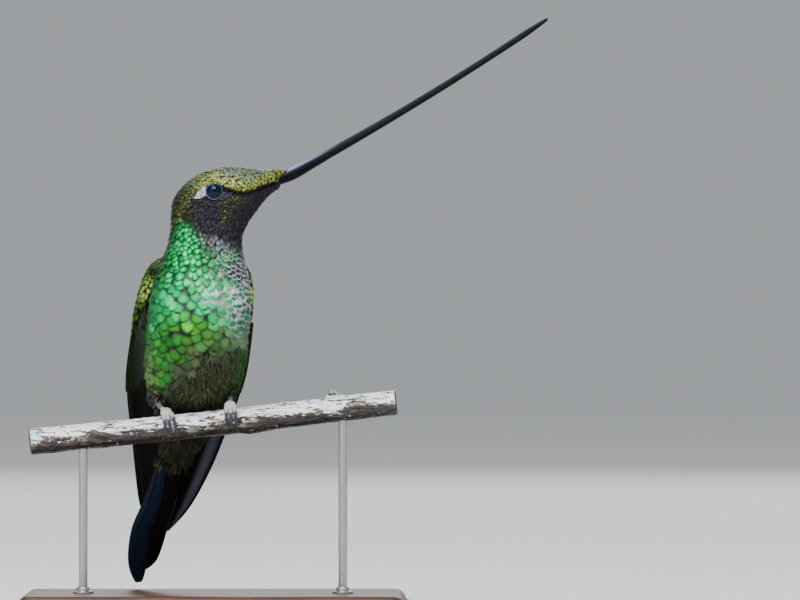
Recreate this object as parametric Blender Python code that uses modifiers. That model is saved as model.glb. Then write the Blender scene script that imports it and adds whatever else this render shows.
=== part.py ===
"""Sword-billed hummingbird (Ensifera ensifera), life size, a still model that grips a cut branch on a stand.

World frame: +Z up, +X along the bill and up the branch, +Y away from the side where the breast shows.
The origin is the centre of the display base's underside. Sizes below are in millimetres.
"""

import math

import bmesh
import bpy
from mathutils import Matrix, Vector

MM = 0.001
GAP = 0.3  # clearance that touching pieces keep

# Display stand.
BASE_LENGTH = 112.0
BASE_DEPTH = 70.0
BASE_HEIGHT = 5.0
BASE_BEVEL = 0.8
ROD_RADIUS = 1.25
ROD_REACH = 37.0  # distance of each rod from the middle
ROD_SEAT = 2.5  # depth of the drilled seats in the base and the perch

# Cut branch.
PERCH_Y = -10.0
PERCH_HALF_LENGTH = 52.0
PERCH_RADIUS = 3.8
PERCH_HEIGHT = 53.55  # of its axis, over the origin
PERCH_RISE = 0.108  # slope of its axis
PERCH_BOW = 0.00011  # a slight upward bend
PERCH_RINGS = 31
PERCH_SIDES = 16
# Each bump: place along the branch, angle round it from the top, height, half length, half angle.
PERCH_BUMPS = (
    (12.0, math.pi, 1.3, 2.2, 0.55),
    (35.6, 0.0, 1.7, 1.1, 0.35),
    (-41.0, 1.9, 0.5, 2.5, 0.50),
    (27.0, -2.2, 0.6, 2.0, 0.50),
)

# Bill, a slightly upcurved sword. It starts at the feathers of the forehead.
BILL_ROOT = (23.5, -22.3, 124.8)
BILL_LENGTH = 84.0
BILL_YAW = math.radians(-4.0)
BILL_RISE_AT_ROOT = math.radians(28.4)
BILL_RISE_AT_TIP = math.radians(34.0)
# Height of the closed bill at fractions of its length.
BILL_HEIGHTS = ((0.0, 3.5), (0.05, 3.0), (0.13, 2.5), (0.3, 2.15), (0.45, 1.95), (0.75, 1.72), (0.92, 1.74),
                (0.97, 1.25), (1.0, 0.75))
BILL_WIDTH_PER_HEIGHT = 0.92
BILL_RINGS = 16
UPPER_SHARE = 0.55  # of the bill's height lies above the line between the two halves

# Eyes: a globe whose front shows through a round opening.
EYE_RADIUS = 2.75
EYE_PLACE = (0.7, 119.4)
HEAD_MIDDLE_Y = -21.0
EYE_FROM_MIDDLE = 4.45

# Cross sections from the bill's base to the vent. Each row: a point on the crown, nape or right flank
# (x, z), the point across from it on the chin, throat or left flank (x, z), the middle's y, the half
# depths towards the breast and the back, and how far the back of the section is tipped up, in degrees.
BODY = (
    (22.4, 126.7, 21.0, 121.8, -22.3, 2.0, 2.0, 0),
    (20.2, 126.2, 18.9, 120.3, -22.1, 2.8, 2.8, 0),
    (15.9, 125.7, 16.5, 118.6, -21.8, 3.9, 3.9, 0),
    (11.9, 126.2, 14.6, 116.6, -21.5, 4.9, 4.9, 0),
    (7.6, 126.8, 12.9, 114.2, -21.2, 5.7, 5.7, 0),
    (3.4, 126.8, 11.3, 112.1, -21.0, 6.3, 6.3, 0),
    (-0.9, 125.9, 10.3, 110.5, -20.8, 6.7, 6.7, 0),
    (-4.9, 124.1, 9.5, 108.8, -20.6, 7.0, 7.0, 0),
    (-8.6, 121.1, 8.8, 107.2, -20.4, 7.4, 7.4, 2),
    (-11.0, 117.9, 8.6, 105.7, -20.1, 7.9, 7.9, 5),
    (-12.0, 114.2, 8.8, 103.6, -19.7, 8.4, 8.4, 9),
    (-12.1, 110.2, 9.2, 101.3, -19.2, 9.1, 9.0, 13),
    (-12.7, 105.7, 9.7, 98.7, -18.4, 10.2, 9.9, 17),
    (-14.3, 101.2, 10.4, 95.8, -17.4, 11.6, 11.0, 21),
    (-16.6, 96.9, 11.1, 92.1, -16.0, 13.0, 12.2, 24),
    (-18.1, 91.5, 11.2, 87.8, -14.0, 14.0, 13.0, 26),
    (-19.0, 85.2, 11.0, 83.0, -11.5, 14.4, 13.4, 28),
    (-19.7, 79.2, 10.5, 78.1, -8.8, 14.0, 13.4, 29),
    (-20.2, 73.8, 9.9, 73.0, -6.0, 13.0, 13.0, 30),
    (-20.3, 68.7, 8.7, 68.1, -3.2, 11.6, 12.4, 31),
    (-19.6, 64.1, 7.4, 63.5, -0.4, 9.8, 11.2, 32),
    (-18.5, 60.0, 5.5, 59.5, 2.2, 8.4, 10.0, 33),
    (-17.2, 56.0, 2.6, 55.4, 4.4, 7.2, 8.6, 34),
    (-16.1, 52.0, -0.6, 51.4, 6.2, 6.0, 7.0, 35),
    (-15.7, 47.9, -3.8, 47.3, 7.8, 5.0, 5.6, 36),
    (-16.2, 43.9, -6.4, 43.3, 9.4, 4.2, 4.5, 36),
)
BODY_SIDES = 20
BODY_STEPS = 2  # rings for each row
BODY_ROUNDNESS = 2.15  # exponent of the section: 2 is an ellipse, more is squarer
NECK_STARTS = 10.0  # where the body is parted, counted in rows
TRUNK_STARTS = 12.7
PARTING = 0.16  # width of a parting cut, in rows

# Tail: the closed fan, from the undertail coverts to the tips of the outer feathers.
TAIL = (
    (-16.4, 43.0, -6.8, 42.4, 9.9, 4.0, 4.2, 36),
    (-18.3, 36.9, -9.1, 36.3, 12.8, 2.3, 2.6, 36),
    (-21.2, 29.6, -11.5, 29.3, 16.4, 1.4, 1.6, 36),
    (-24.0, 24.0, -13.5, 23.7, 19.4, 1.1, 1.2, 36),
    (-25.2, 17.8, -15.1, 18.1, 22.4, 0.8, 0.9, 36),
    (-25.5, 12.8, -16.9, 13.4, 24.8, 0.7, 0.7, 36),
    (-24.6, 8.9, -19.4, 9.4, 26.8, 0.6, 0.6, 36),
    (-23.3, 6.9, -21.7, 6.9, 27.8, 0.5, 0.5, 36),
)
TAIL_SIDES = 14

# Wings, folded. Each leading edge runs from the wrist to the tip of the longest flight feather.
RIGHT_EDGE = (
    (-14.2, -16.6, 97.6), (-15.9, -15.0, 94.8), (-18.8, -12.3, 90.0), (-22.2, -6.0, 81.0), (-24.3, 2.5, 67.2),
    (-24.6, 6.8, 59.9), (-23.4, 12.6, 48.3), (-22.5, 17.5, 36.7), (-21.6, 20.8, 28.5), (-19.6, 23.0, 23.3),
)
LEFT_EDGE = (
    (6.6, -12.0, 98.8), (9.6, -11.0, 95.8), (11.3, -8.5, 90.9), (10.9, -3.0, 81.5), (8.9, 4.0, 67.2),
    (6.1, 8.0, 58.5), (2.3, 12.6, 48.4), (-1.6, 16.4, 39.1), (-8.0, 21.0, 27.6), (-14.0, 23.6, 21.6),
)
# The same for both, at the edge's points: chord, thickness, and the turn of the chord from the back's
# direction towards the midline, in degrees.
WING_CHORD = (7.0, 11.5, 14.0, 15.5, 15.0, 14.0, 12.5, 10.5, 8.0, 2.0)
WING_THICKNESS = (3.2, 4.2, 4.0, 2.8, 1.9, 1.6, 1.3, 1.15, 1.05, 0.8)
WING_WRAP = (24, 26, 30, 36, 42, 46, 52, 58, 62, 64)
WING_CAMBER = 0.10  # rise of the blade's middle over its chord
WING_SIDES = 16
WING_STEPS = 3  # rings for each point of the edge
COVERTS_END = 4.2  # where coverts meet flight feathers, in points of the edge
WING_PARTING = 0.03  # half the width of the cut there

# The trunk's own directions: it leans forward and turns its breast a little along the branch.
BODY_YAW = math.radians(22.0)
BODY_LEAN = math.radians(28.0)
FACING = Vector((math.sin(BODY_YAW), -math.cos(BODY_YAW), 0.0))
RIGHTWARD = Vector((-math.cos(BODY_YAW), -math.sin(BODY_YAW), 0.0))
UP = Vector((0.0, 0.0, 1.0))
BACKWARD = UP * math.sin(BODY_LEAN) - FACING * math.cos(BODY_LEAN)

# Feet. Each has a pad on the branch, three toes over its front and one over its back.
PAD_RADII = (1.75, 2.0, 1.15)  # along the branch, round it, out from it
PAD_ANGLE = math.radians(30.0)
TOE_RADIUS = 0.58
CLAW_TIP_RADIUS = 0.26
TOE_REACH = math.radians(96.0)
CLAW_REACH = math.radians(128.0)
HIND_START = math.radians(24.0)
HIND_REACH = math.radians(-78.0)
HIND_CLAW_REACH = math.radians(-112.0)
TOE_POINTS = 9
# Place along the branch, where each front toe starts and ends from there, and the hind toe's place.
RIGHT_FOOT = (-12.8, ((-0.9, -0.3), (0.3, 1.1), (1.5, 3.0)), 0.2)
LEFT_FOOT = (5.4, ((-1.2, -1.6), (0.0, -0.1), (1.2, 1.5)), 0.0)
TARSUS_RADIUS = 0.65
# Feathered thighs: the middle of each and its radii.
RIGHT_THIGH = ((-16.4, -6.4, 61.0), (2.6, 2.7, 3.3))
LEFT_THIGH = ((4.9, -5.4, 63.0), (2.3, 2.6, 2.9))


def clear_scene():
    for obj in list(bpy.data.objects):
        bpy.data.objects.remove(obj, do_unlink=True)


def new_collection(name):
    collection = bpy.data.collections.new(name)
    bpy.context.scene.collection.children.link(collection)
    return collection


def paint(obj, colour, roughness, metallic=0.0):
    """Gives the object its own Principled material."""
    material = bpy.data.materials.new(obj.name)
    material.use_nodes = True
    shader = material.node_tree.nodes["Principled BSDF"]
    shader.inputs["Base Color"].default_value = (*colour, 1.0)
    shader.inputs["Roughness"].default_value = roughness
    shader.inputs["Metallic"].default_value = metallic
    material.diffuse_color = (*colour, 1.0)
    obj.data.materials.clear()
    obj.data.materials.append(material)


def finish_mesh(name, work, collection):
    """Makes the object from millimetre geometry, with smooth shading and faces that point out."""
    bmesh.ops.recalc_face_normals(work, faces=work.faces)
    bmesh.ops.scale(work, vec=(MM, MM, MM), verts=work.verts)
    mesh = bpy.data.meshes.new(name)
    work.to_mesh(mesh)
    work.free()
    mesh.shade_smooth()
    mesh.set_sharp_from_angle(angle=math.radians(50.0))
    obj = bpy.data.objects.new(name, mesh)
    collection.objects.link(obj)
    return obj


def catmull_rom(rows, place):
    """Reads equal rows of numbers at a fractional place, on a smooth curve through all of them."""
    last = len(rows) - 1
    place = min(max(place, 0.0), float(last))
    step = min(int(place), last - 1)
    t = place - step
    before, start, end, after = (rows[min(max(step + i, 0), last)] for i in (-1, 0, 1, 2))
    return [
        0.5 * (2 * b + (c - a) * t + (2 * a - 5 * b + 4 * c - d) * t * t + (3 * b - a - 3 * c + d) * t ** 3)
        for a, b, c, d in zip(before, start, end, after)
    ]


def places(first, last, steps):
    """Evenly spaced places from first to last, about as many for each row as steps says."""
    count = max(int(round((last - first) * steps)), 1)
    return [first + (last - first) * i / count for i in range(count + 1)]


def loft(name, rings, collection):
    """Joins rings of equal length into one closed body with flat ends."""
    work = bmesh.new()
    loops = [[work.verts.new(point) for point in ring] for ring in rings]
    sides = len(loops[0])
    for one, two in zip(loops, loops[1:]):
        for i in range(sides):
            j = (i + 1) % sides
            work.faces.new((one[i], one[j], two[j], two[i]))
    work.faces.new(loops[0])
    work.faces.new(reversed(loops[-1]))
    return finish_mesh(name, work, collection)


def section_ring(rows, place, sides):
    """A rounded section between its two outline points, with its own depths to the front and the back."""
    ax, az, bx, bz, y, near, far, tip = catmull_rom(rows, place)
    middle = Vector(((ax + bx) / 2, y, (az + bz) / 2))
    across = Vector(((ax - bx) / 2, 0.0, (az - bz) / 2))
    depth = Vector((0.0, math.cos(math.radians(tip)), math.sin(math.radians(tip))))
    ring = []
    for i in range(sides):
        angle = math.tau * i / sides
        u, v = math.cos(angle), math.sin(angle)
        swell = (abs(u) ** BODY_ROUNDNESS + abs(v) ** BODY_ROUNDNESS) ** (-1 / BODY_ROUNDNESS)
        ring.append(middle + across * (u * swell) + depth * (v * swell * (far if v > 0 else near)))
    return ring


def make_body(parts):
    cuts = (
        ("head", 0.0, NECK_STARTS - PARTING / 2),
        ("neck", NECK_STARTS + PARTING / 2, TRUNK_STARTS - PARTING / 2),
        ("trunk", TRUNK_STARTS + PARTING / 2, len(BODY) - 1.0),
    )
    colours = {"head": (0.12, 0.13, 0.06), "neck": (0.05, 0.2, 0.11), "trunk": (0.07, 0.28, 0.13)}
    made = {}
    for name, first, last in cuts:
        rings = [section_ring(BODY, place, BODY_SIDES) for place in places(first, last, BODY_STEPS)]
        made[name] = loft(name, rings, parts)
        paint(made[name], colours[name], 0.6)
    return made


def make_tail(parts):
    rings = [section_ring(TAIL, place, TAIL_SIDES) for place in places(0.0, len(TAIL) - 1.0, BODY_STEPS)]
    tail = loft("tail", rings, parts)
    paint(tail, (0.008, 0.012, 0.02), 0.4)
    return tail


def wing_ring(edge, side, place, grow):
    """One section of a folded wing: a thin cambered lens from the leading edge to the trailing edge."""
    start = Vector(catmull_rom(edge, place))
    ahead = Vector(catmull_rom(edge, place + 0.05))
    behind = Vector(catmull_rom(edge, place - 0.05))
    along = (ahead - behind).normalized()
    rows = list(zip(WING_CHORD, WING_THICKNESS, WING_WRAP))
    chord, thickness, wrap = catmull_rom(rows, place)
    wrap = math.radians(wrap)
    inward = RIGHTWARD * -side
    across = BACKWARD * math.cos(wrap) + inward * math.sin(wrap)
    across = (across - along * across.dot(along)).normalized()
    outward = along.cross(across).normalized()
    if outward.dot(inward) > 0:
        outward = -outward
    start -= across * grow
    chord += 2 * grow
    ring = []
    for i in range(WING_SIDES):
        angle = math.tau * i / WING_SIDES
        u = (1 - math.cos(angle)) / 2
        bulge = WING_CAMBER * chord * 4 * u * (1 - u)
        half = (thickness / 2 + grow) * abs(math.sin(angle)) ** 0.7 * (1.15 - 0.45 * u)
        half = math.copysign(half, math.sin(angle))
        ring.append(start + across * (chord * u) + outward * (bulge + half))
    return ring


def moved_out(ring, neighbour, distance):
    """The ring, moved away from its neighbour along the line between their middles."""
    middle = sum(ring, Vector()) / len(ring)
    away = (middle - sum(neighbour, Vector()) / len(neighbour)).normalized()
    return [point + away * distance for point in ring]


def wing_body(name, edge, side, first, last, grow, collection):
    rings = [wing_ring(edge, side, place, grow) for place in places(first, last, WING_STEPS)]
    if grow > 0:
        rings[0] = moved_out(rings[0], rings[1], grow)
        rings[-1] = moved_out(rings[-1], rings[-2], grow)
    return loft(name, rings, collection)


def make_wings(parts, cutters):
    """Each wing is its arm with the coverts, and its flight feathers. It returns what clears the trunk."""
    clearing = []
    for word, edge, side in (("right", RIGHT_EDGE, 1), ("left", LEFT_EDGE, -1)):
        tip = len(edge) - 1.0
        arm = wing_body(f"wing_{word}", edge, side, 0.0, COVERTS_END - WING_PARTING, 0.0, parts)
        paint(arm, (0.02, 0.03, 0.012), 0.5)
        feathers = wing_body(f"primaries_{word}", edge, side, COVERTS_END + WING_PARTING, tip, 0.0, parts)
        paint(feathers, (0.008, 0.008, 0.012), 0.45)
        cutter = wing_body(f"wing_clearance_{word}", edge, side, 0.0, tip, GAP, cutters)
        clearing.append(cutter)
    return clearing


def bill_frame(fraction):
    """The bill's axis point at a fraction of its length, with its side and up directions."""
    steps = 40
    point = Vector(BILL_ROOT)
    heading = Vector((math.cos(BILL_YAW), math.sin(BILL_YAW), 0.0))
    for i in range(steps):
        part = (i + 0.5) / steps * fraction
        rise = BILL_RISE_AT_ROOT + (BILL_RISE_AT_TIP - BILL_RISE_AT_ROOT) * part
        point += (heading * math.cos(rise) + UP * math.sin(rise)) * (BILL_LENGTH * fraction / steps)
    rise = BILL_RISE_AT_ROOT + (BILL_RISE_AT_TIP - BILL_RISE_AT_ROOT) * fraction
    upward = UP * math.cos(rise) - heading * math.sin(rise)
    sideways = heading.cross(UP).normalized()
    return point, sideways, upward


def bill_height(fraction):
    for (start, low), (end, high) in zip(BILL_HEIGHTS, BILL_HEIGHTS[1:]):
        if fraction <= end:
            return low + (high - low) * (fraction - start) / (end - start)
    return BILL_HEIGHTS[-1][1]


def bill_ring(fraction, sign):
    """Half of the bill's oval, over (+1) or under (-1) the line where the halves meet."""
    point, sideways, upward = bill_frame(fraction)
    height = bill_height(fraction)
    seam = point + upward * (height * (0.5 - UPPER_SHARE))
    share = UPPER_SHARE if sign > 0 else 1 - UPPER_SHARE
    half_width = height * BILL_WIDTH_PER_HEIGHT / 2
    reach = height * share - GAP / 2
    start = seam + upward * (sign * GAP / 2)
    count = 9
    angles = [math.pi * i / (count - 1) for i in range(count)]
    return [start + sideways * (half_width * math.cos(a)) + upward * (sign * reach * math.sin(a)) for a in angles]


def make_bill(parts):
    for name, sign, colour in (("bill_upper", 1, (0.10, 0.12, 0.16)), ("bill_lower", -1, (0.01, 0.01, 0.012))):
        rings = [bill_ring(i / (BILL_RINGS - 1), sign) for i in range(BILL_RINGS)]
        half = loft(name, rings, parts)
        paint(half, colour, 0.3)


def ball(name, centre, radii, collection, segments=24):
    """An ellipsoid with its own radii along X, Y and Z."""
    work = bmesh.new()
    bmesh.ops.create_uvsphere(work, u_segments=segments, v_segments=segments // 2, radius=1.0)
    bmesh.ops.scale(work, vec=radii, verts=work.verts)
    bmesh.ops.translate(work, vec=centre, verts=work.verts)
    return finish_mesh(name, work, collection)


def make_eyes(parts, cutters):
    clearing = []
    for word, side in (("right", -1), ("left", 1)):
        centre = (EYE_PLACE[0], HEAD_MIDDLE_Y + side * EYE_FROM_MIDDLE, EYE_PLACE[1])
        eye = ball(f"eye_{word}", centre, (EYE_RADIUS,) * 3, parts, 14)
        paint(eye, (0.004, 0.004, 0.006), 0.05)
        clearing.append(ball(f"eye_socket_{word}", centre, (EYE_RADIUS + GAP,) * 3, cutters, 14))
    return clearing


def boolean(obj, other, operation):
    modifier = obj.modifiers.new(other.name, "BOOLEAN")
    modifier.operation = operation
    modifier.object = other
    modifier.solver = "EXACT"


def cylinder(name, centre, radius, height, collection, segments=24):
    work = bmesh.new()
    bmesh.ops.create_cone(work, cap_ends=True, segments=segments, radius1=radius, radius2=radius, depth=height)
    bmesh.ops.translate(work, vec=centre, verts=work.verts)
    return finish_mesh(name, work, collection)


def perch_axis(x):
    return PERCH_HEIGHT + PERCH_RISE * x + PERCH_BOW * x * x


def perch_frame(x):
    """The branch's axis point at x, with its length and up directions. Towards the breast is -Y."""
    slope = math.atan(PERCH_RISE + 2 * PERCH_BOW * x)
    length = Vector((math.cos(slope), 0.0, math.sin(slope)))
    upward = Vector((-math.sin(slope), 0.0, math.cos(slope)))
    return Vector((x, PERCH_Y, perch_axis(x))), length, upward


def on_perch(x, angle, radius):
    """A point round the branch: angle 0 is its top, and a positive angle goes over its front."""
    centre, _, upward = perch_frame(x)
    return centre + upward * (radius * math.cos(angle)) + Vector((0, -1, 0)) * (radius * math.sin(angle))


def perch_radius(x, angle):
    waves = 0.09 * math.sin(0.35 * x + 2.0 * angle) + 0.06 * math.sin(0.9 * x - 3.0 * angle + 1.0)
    radius = PERCH_RADIUS - 0.0012 * (x + PERCH_HALF_LENGTH) + waves
    for place, round_it, height, half_length, half_angle in PERCH_BUMPS:
        turn = (angle - round_it + math.pi) % math.tau - math.pi
        radius += height * math.exp(-((x - place) / half_length) ** 2 - (turn / half_angle) ** 2)
    return radius


def make_perch(parts, cutters):
    rings = []
    for i in range(PERCH_RINGS):
        x = PERCH_HALF_LENGTH * (2 * i / (PERCH_RINGS - 1) - 1)
        angles = [math.tau * j / PERCH_SIDES for j in range(PERCH_SIDES)]
        rings.append([on_perch(x, angle, perch_radius(x, angle)) for angle in angles])
    perch = loft("perch", rings, parts)
    paint(perch, (0.35, 0.33, 0.31), 0.8)
    for word, side in (("left", -1), ("right", 1)):
        x = side * ROD_REACH
        low = perch_axis(x) - PERCH_RADIUS - 2.0
        high = perch_axis(x) - PERCH_RADIUS + ROD_SEAT
        hole = cylinder(f"perch_seat_{word}", (x, PERCH_Y, (low + high) / 2), ROD_RADIUS + GAP, high - low, cutters)
        boolean(perch, hole, "DIFFERENCE")
    return perch


def make_stand(parts, cutters):
    work = bmesh.new()
    bmesh.ops.create_cube(work, size=1.0)
    bmesh.ops.scale(work, vec=(BASE_LENGTH, BASE_DEPTH, BASE_HEIGHT), verts=work.verts)
    bmesh.ops.translate(work, vec=(0.0, 0.0, BASE_HEIGHT / 2), verts=work.verts)
    base = finish_mesh("stand_base", work, parts)
    bevel = base.modifiers.new("rounded edges", "BEVEL")
    bevel.width = BASE_BEVEL * MM
    bevel.segments = 2
    paint(base, (0.09, 0.045, 0.025), 0.45)
    for word, side in (("left", -1), ("right", 1)):
        x = side * ROD_REACH
        bottom = BASE_HEIGHT - ROD_SEAT
        high = perch_axis(x) - PERCH_RADIUS + ROD_SEAT - GAP
        low = bottom + GAP
        rod = cylinder(f"stand_rod_{word}", (x, PERCH_Y, (low + high) / 2), ROD_RADIUS, high - low, parts)
        paint(rod, (0.6, 0.58, 0.55), 0.3, 1.0)
        top = BASE_HEIGHT + 2.0
        seat = cylinder(f"base_seat_{word}", (x, PERCH_Y, (bottom + top) / 2), ROD_RADIUS + GAP, top - bottom, cutters)
        boolean(base, seat, "DIFFERENCE")


def swept(name, points, radii, collection):
    """A round rod along the points, made with a curve's bevel and turned into a closed mesh."""
    curve = bpy.data.curves.new(name, "CURVE")
    curve.dimensions = "3D"
    curve.bevel_depth = MM
    curve.bevel_resolution = 1
    curve.use_fill_caps = True
    spline = curve.splines.new("POLY")
    spline.points.add(len(points) - 1)
    for knot, point, radius in zip(spline.points, points, radii):
        knot.co = (*(Vector(point) * MM), 1.0)
        knot.radius = radius
    guide = bpy.data.objects.new(name + "_guide", curve)
    collection.objects.link(guide)
    graph = bpy.context.evaluated_depsgraph_get()
    mesh = bpy.data.meshes.new_from_object(guide.evaluated_get(graph))
    work = bmesh.new()
    work.from_mesh(mesh)
    bmesh.ops.remove_doubles(work, verts=work.verts, dist=0.00001)
    bmesh.ops.recalc_face_normals(work, faces=work.faces)
    work.to_mesh(mesh)
    work.free()
    mesh.shade_smooth()
    obj = bpy.data.objects.new(name, mesh)
    obj.matrix_world = guide.matrix_world
    bpy.data.objects.remove(guide, do_unlink=True)
    collection.objects.link(obj)
    return obj


def toe(name, x, start, end, first, toe_end, claw_end, collection):
    """A toe that follows the branch and narrows into its claw."""
    points = []
    radii = []
    for i in range(TOE_POINTS):
        t = i / (TOE_POINTS - 1)
        angle = first + (claw_end - first) * t
        claw = max((abs(angle) - abs(toe_end)) / (abs(claw_end) - abs(toe_end)), 0.0)
        radius = TOE_RADIUS * (1 - 0.12 * t) * (1 - claw) + CLAW_TIP_RADIUS * claw
        out = PERCH_RADIUS + 0.15 + GAP + radius + 0.25 * math.sin(math.pi * min(claw, 1.0))
        points.append(on_perch(x + start + (end - start) * t, angle, out))
        radii.append(radius)
    return swept(name, points, radii, collection)


def tarsus_top(pad_middle, thigh):
    """Where the line from the pad to the thigh's middle comes a gap short of the thigh."""
    centre, radii = thigh
    down = (pad_middle - Vector(centre)).normalized()
    reach = sum((part / radius) ** 2 for part, radius in zip(down, radii)) ** -0.5
    return Vector(centre) + down * (reach + 2 * GAP)


def make_foot(word, foot, thigh, parts, cutters):
    """The pad, with the toes, their claws and the short bare tarsus joined to it."""
    x, fronts, hind = foot
    centre, length, _ = perch_frame(x)
    pad_middle = on_perch(x, PAD_ANGLE, PERCH_RADIUS + 1.5 * GAP + PAD_RADII[2])
    pad = ball(f"foot_{word}", (0.0, 0.0, 0.0), PAD_RADII, parts, 12)
    upward = (pad_middle - centre).normalized()
    turn = Matrix((length, upward.cross(length), upward)).transposed().to_4x4()
    pad.matrix_world = Matrix.Translation(pad_middle * MM) @ turn
    for i, (start, end) in enumerate(fronts):
        name = f"front_toe_{word}_{i}"
        boolean(pad, toe(name, x, start, end, PAD_ANGLE, TOE_REACH, CLAW_REACH, cutters), "UNION")
    name = f"hind_toe_{word}"
    boolean(pad, toe(name, x, hind, hind, HIND_START, HIND_REACH, HIND_CLAW_REACH, cutters), "UNION")
    top = tarsus_top(pad_middle, thigh)
    points = [pad_middle.lerp(top, i / 3) for i in range(4)]
    boolean(pad, swept(f"tarsus_{word}", points, [TARSUS_RADIUS] * 4, cutters), "UNION")
    paint(pad, (0.45, 0.36, 0.36), 0.55)
    clearance = [TARSUS_RADIUS + GAP] * 4
    return swept(f"tarsus_clearance_{word}", points, clearance, cutters)


def make_thigh(word, thigh, parts, cutters):
    centre, radii = thigh
    leg = ball(f"leg_{word}", centre, radii, parts, 16)
    paint(leg, (0.2, 0.2, 0.14), 0.8)
    wide = [radius + GAP for radius in radii]
    return ball(f"thigh_clearance_{word}", centre, wide, cutters, 16)


def hide_cutters(cutters):
    for obj in cutters.objects:
        obj.hide_render = True
        obj.display_type = "WIRE"


def main():
    clear_scene()
    parts = new_collection("hummingbird")
    cutters = new_collection("cutters")
    body = make_body(parts)
    make_tail(parts)
    for cutter in make_wings(parts, cutters):
        boolean(body["trunk"], cutter, "DIFFERENCE")
    make_bill(parts)
    for cutter in make_eyes(parts, cutters):
        boolean(body["head"], cutter, "DIFFERENCE")
    make_perch(parts, cutters)
    make_stand(parts, cutters)
    for word, foot, thigh in (("right", RIGHT_FOOT, RIGHT_THIGH), ("left", LEFT_FOOT, LEFT_THIGH)):
        boolean(body["trunk"], make_foot(word, foot, thigh, parts, cutters), "DIFFERENCE")
        boolean(body["trunk"], make_thigh(word, thigh, parts, cutters), "DIFFERENCE")
    hide_cutters(cutters)


main()
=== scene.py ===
"""A sword-billed hummingbird, life size, gripping a cut branch that a small stand holds up.

Numbers are millimetres unless a comment says otherwise. +Z is up, +X runs along the bill and up the branch, and the
breast shows from -Y. Right and left are the bird's own.
"""

import math

import bmesh
import bpy
import numpy as np
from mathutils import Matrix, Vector, noise
from mathutils.bvhtree import BVHTree
from mathutils.kdtree import KDTree


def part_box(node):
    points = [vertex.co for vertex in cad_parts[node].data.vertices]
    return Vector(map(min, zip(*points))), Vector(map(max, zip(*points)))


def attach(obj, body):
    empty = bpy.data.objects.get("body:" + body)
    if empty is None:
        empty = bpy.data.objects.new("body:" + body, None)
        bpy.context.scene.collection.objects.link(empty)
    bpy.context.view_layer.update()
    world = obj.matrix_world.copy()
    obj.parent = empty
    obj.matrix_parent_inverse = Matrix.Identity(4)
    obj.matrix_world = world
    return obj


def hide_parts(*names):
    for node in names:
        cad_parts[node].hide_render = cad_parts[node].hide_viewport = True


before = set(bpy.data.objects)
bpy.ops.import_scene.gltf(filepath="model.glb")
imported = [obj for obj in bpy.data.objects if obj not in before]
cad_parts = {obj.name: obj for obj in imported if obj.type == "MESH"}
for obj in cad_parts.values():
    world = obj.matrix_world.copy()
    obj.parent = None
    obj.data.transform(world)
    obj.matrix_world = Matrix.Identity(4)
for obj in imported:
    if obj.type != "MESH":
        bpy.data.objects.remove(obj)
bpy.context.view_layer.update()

MM = 0.001
X, Y, Z = np.eye(3)
rng = np.random.default_rng(20)

# Camera: a long lens, level with the neck.
CAMERA_PLACE = (53.3, -2410.0, 88.7)
SENSOR = 36.0
LENS = 378.9

camera_data = bpy.data.cameras.new("camera")
camera_data.sensor_width = SENSOR
camera_data.lens = LENS
camera_data.clip_start = 0.1
camera_data.clip_end = 40.0
camera = bpy.data.objects.new("camera", camera_data)
camera.location = Vector(CAMERA_PLACE) * MM
camera.rotation_euler = (math.pi / 2, 0.0, 0.0)
bpy.context.scene.collection.objects.link(camera)
bpy.context.scene.camera = camera

# Small tools


def deselect():
    bpy.ops.object.select_all(action="DESELECT")


def linear(code):
    """An sRGB hex colour as linear red, green and blue."""
    parts = [int(code[i:i + 2], 16) / 255 for i in (1, 3, 5)]
    return np.array([c / 12.92 if c <= 0.04045 else ((c + 0.055) / 1.055) ** 2.4 for c in parts])


def step(low, high, x):
    """0 below low, 1 above high, smooth between them."""
    t = np.clip((x - low) / (high - low), 0.0, 1.0)
    return t * t * (3 - 2 * t)


def mix(a, b, amount):
    amount = np.asarray(amount)[..., None]
    return a * (1 - amount) + b * amount


def unit(v):
    return v / np.maximum(np.linalg.norm(v, axis=-1, keepdims=True), 1e-9)


def dot(a, b):
    return (a * b).sum(-1)


def blob(x, y, centre, radii, turn=0.0):
    """1 at the centre of a turned ellipse, falling to 0 round it."""
    c, s = math.cos(math.radians(turn)), math.sin(math.radians(turn))
    dx, dy = x - centre[0], y - centre[1]
    reach = ((dx * c + dy * s) / radii[0]) ** 2 + ((dy * c - dx * s) / radii[1]) ** 2
    return np.exp(-reach ** 1.5)


def at(node, fx, fy, fz):
    """A point at fractions of a solid's box."""
    low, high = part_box(node)
    return np.array([low[i] + (high[i] - low[i]) * f for i, f in enumerate((fx, fy, fz))]) / MM


def merged(name):
    """A solid's mesh, opened for editing, with its doubled points merged."""
    work = bmesh.new()
    work.from_mesh(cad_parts[name].data)
    bmesh.ops.remove_doubles(work, verts=work.verts, dist=1e-6)
    return work


def solid(*nodes):
    """Merged points and triangles of the named solids."""
    points, faces, count = [], [], 0
    for name in nodes:
        work = merged(name)
        work.verts.index_update()
        points.append(np.array([v.co[:] for v in work.verts]) / MM)
        faces.append(np.array([[v.index for v in f.verts] for f in work.faces]) + count)
        count += len(work.verts)
        work.free()
    return np.concatenate(points), np.concatenate(faces)


def numbers(items, name, width=3, kind=float):
    """Numbers of a mesh's points, corners or triangles, in rows."""
    found = np.empty(len(items) * width, kind)
    items.foreach_get(name, found)
    return found.reshape(-1, width)


def tree_of(points, faces):
    return BVHTree.FromPolygons(points.tolist(), faces.tolist())


def distance_to(tree, points):
    return np.array([tree.find_nearest(p)[3] for p in points.tolist()])


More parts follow.
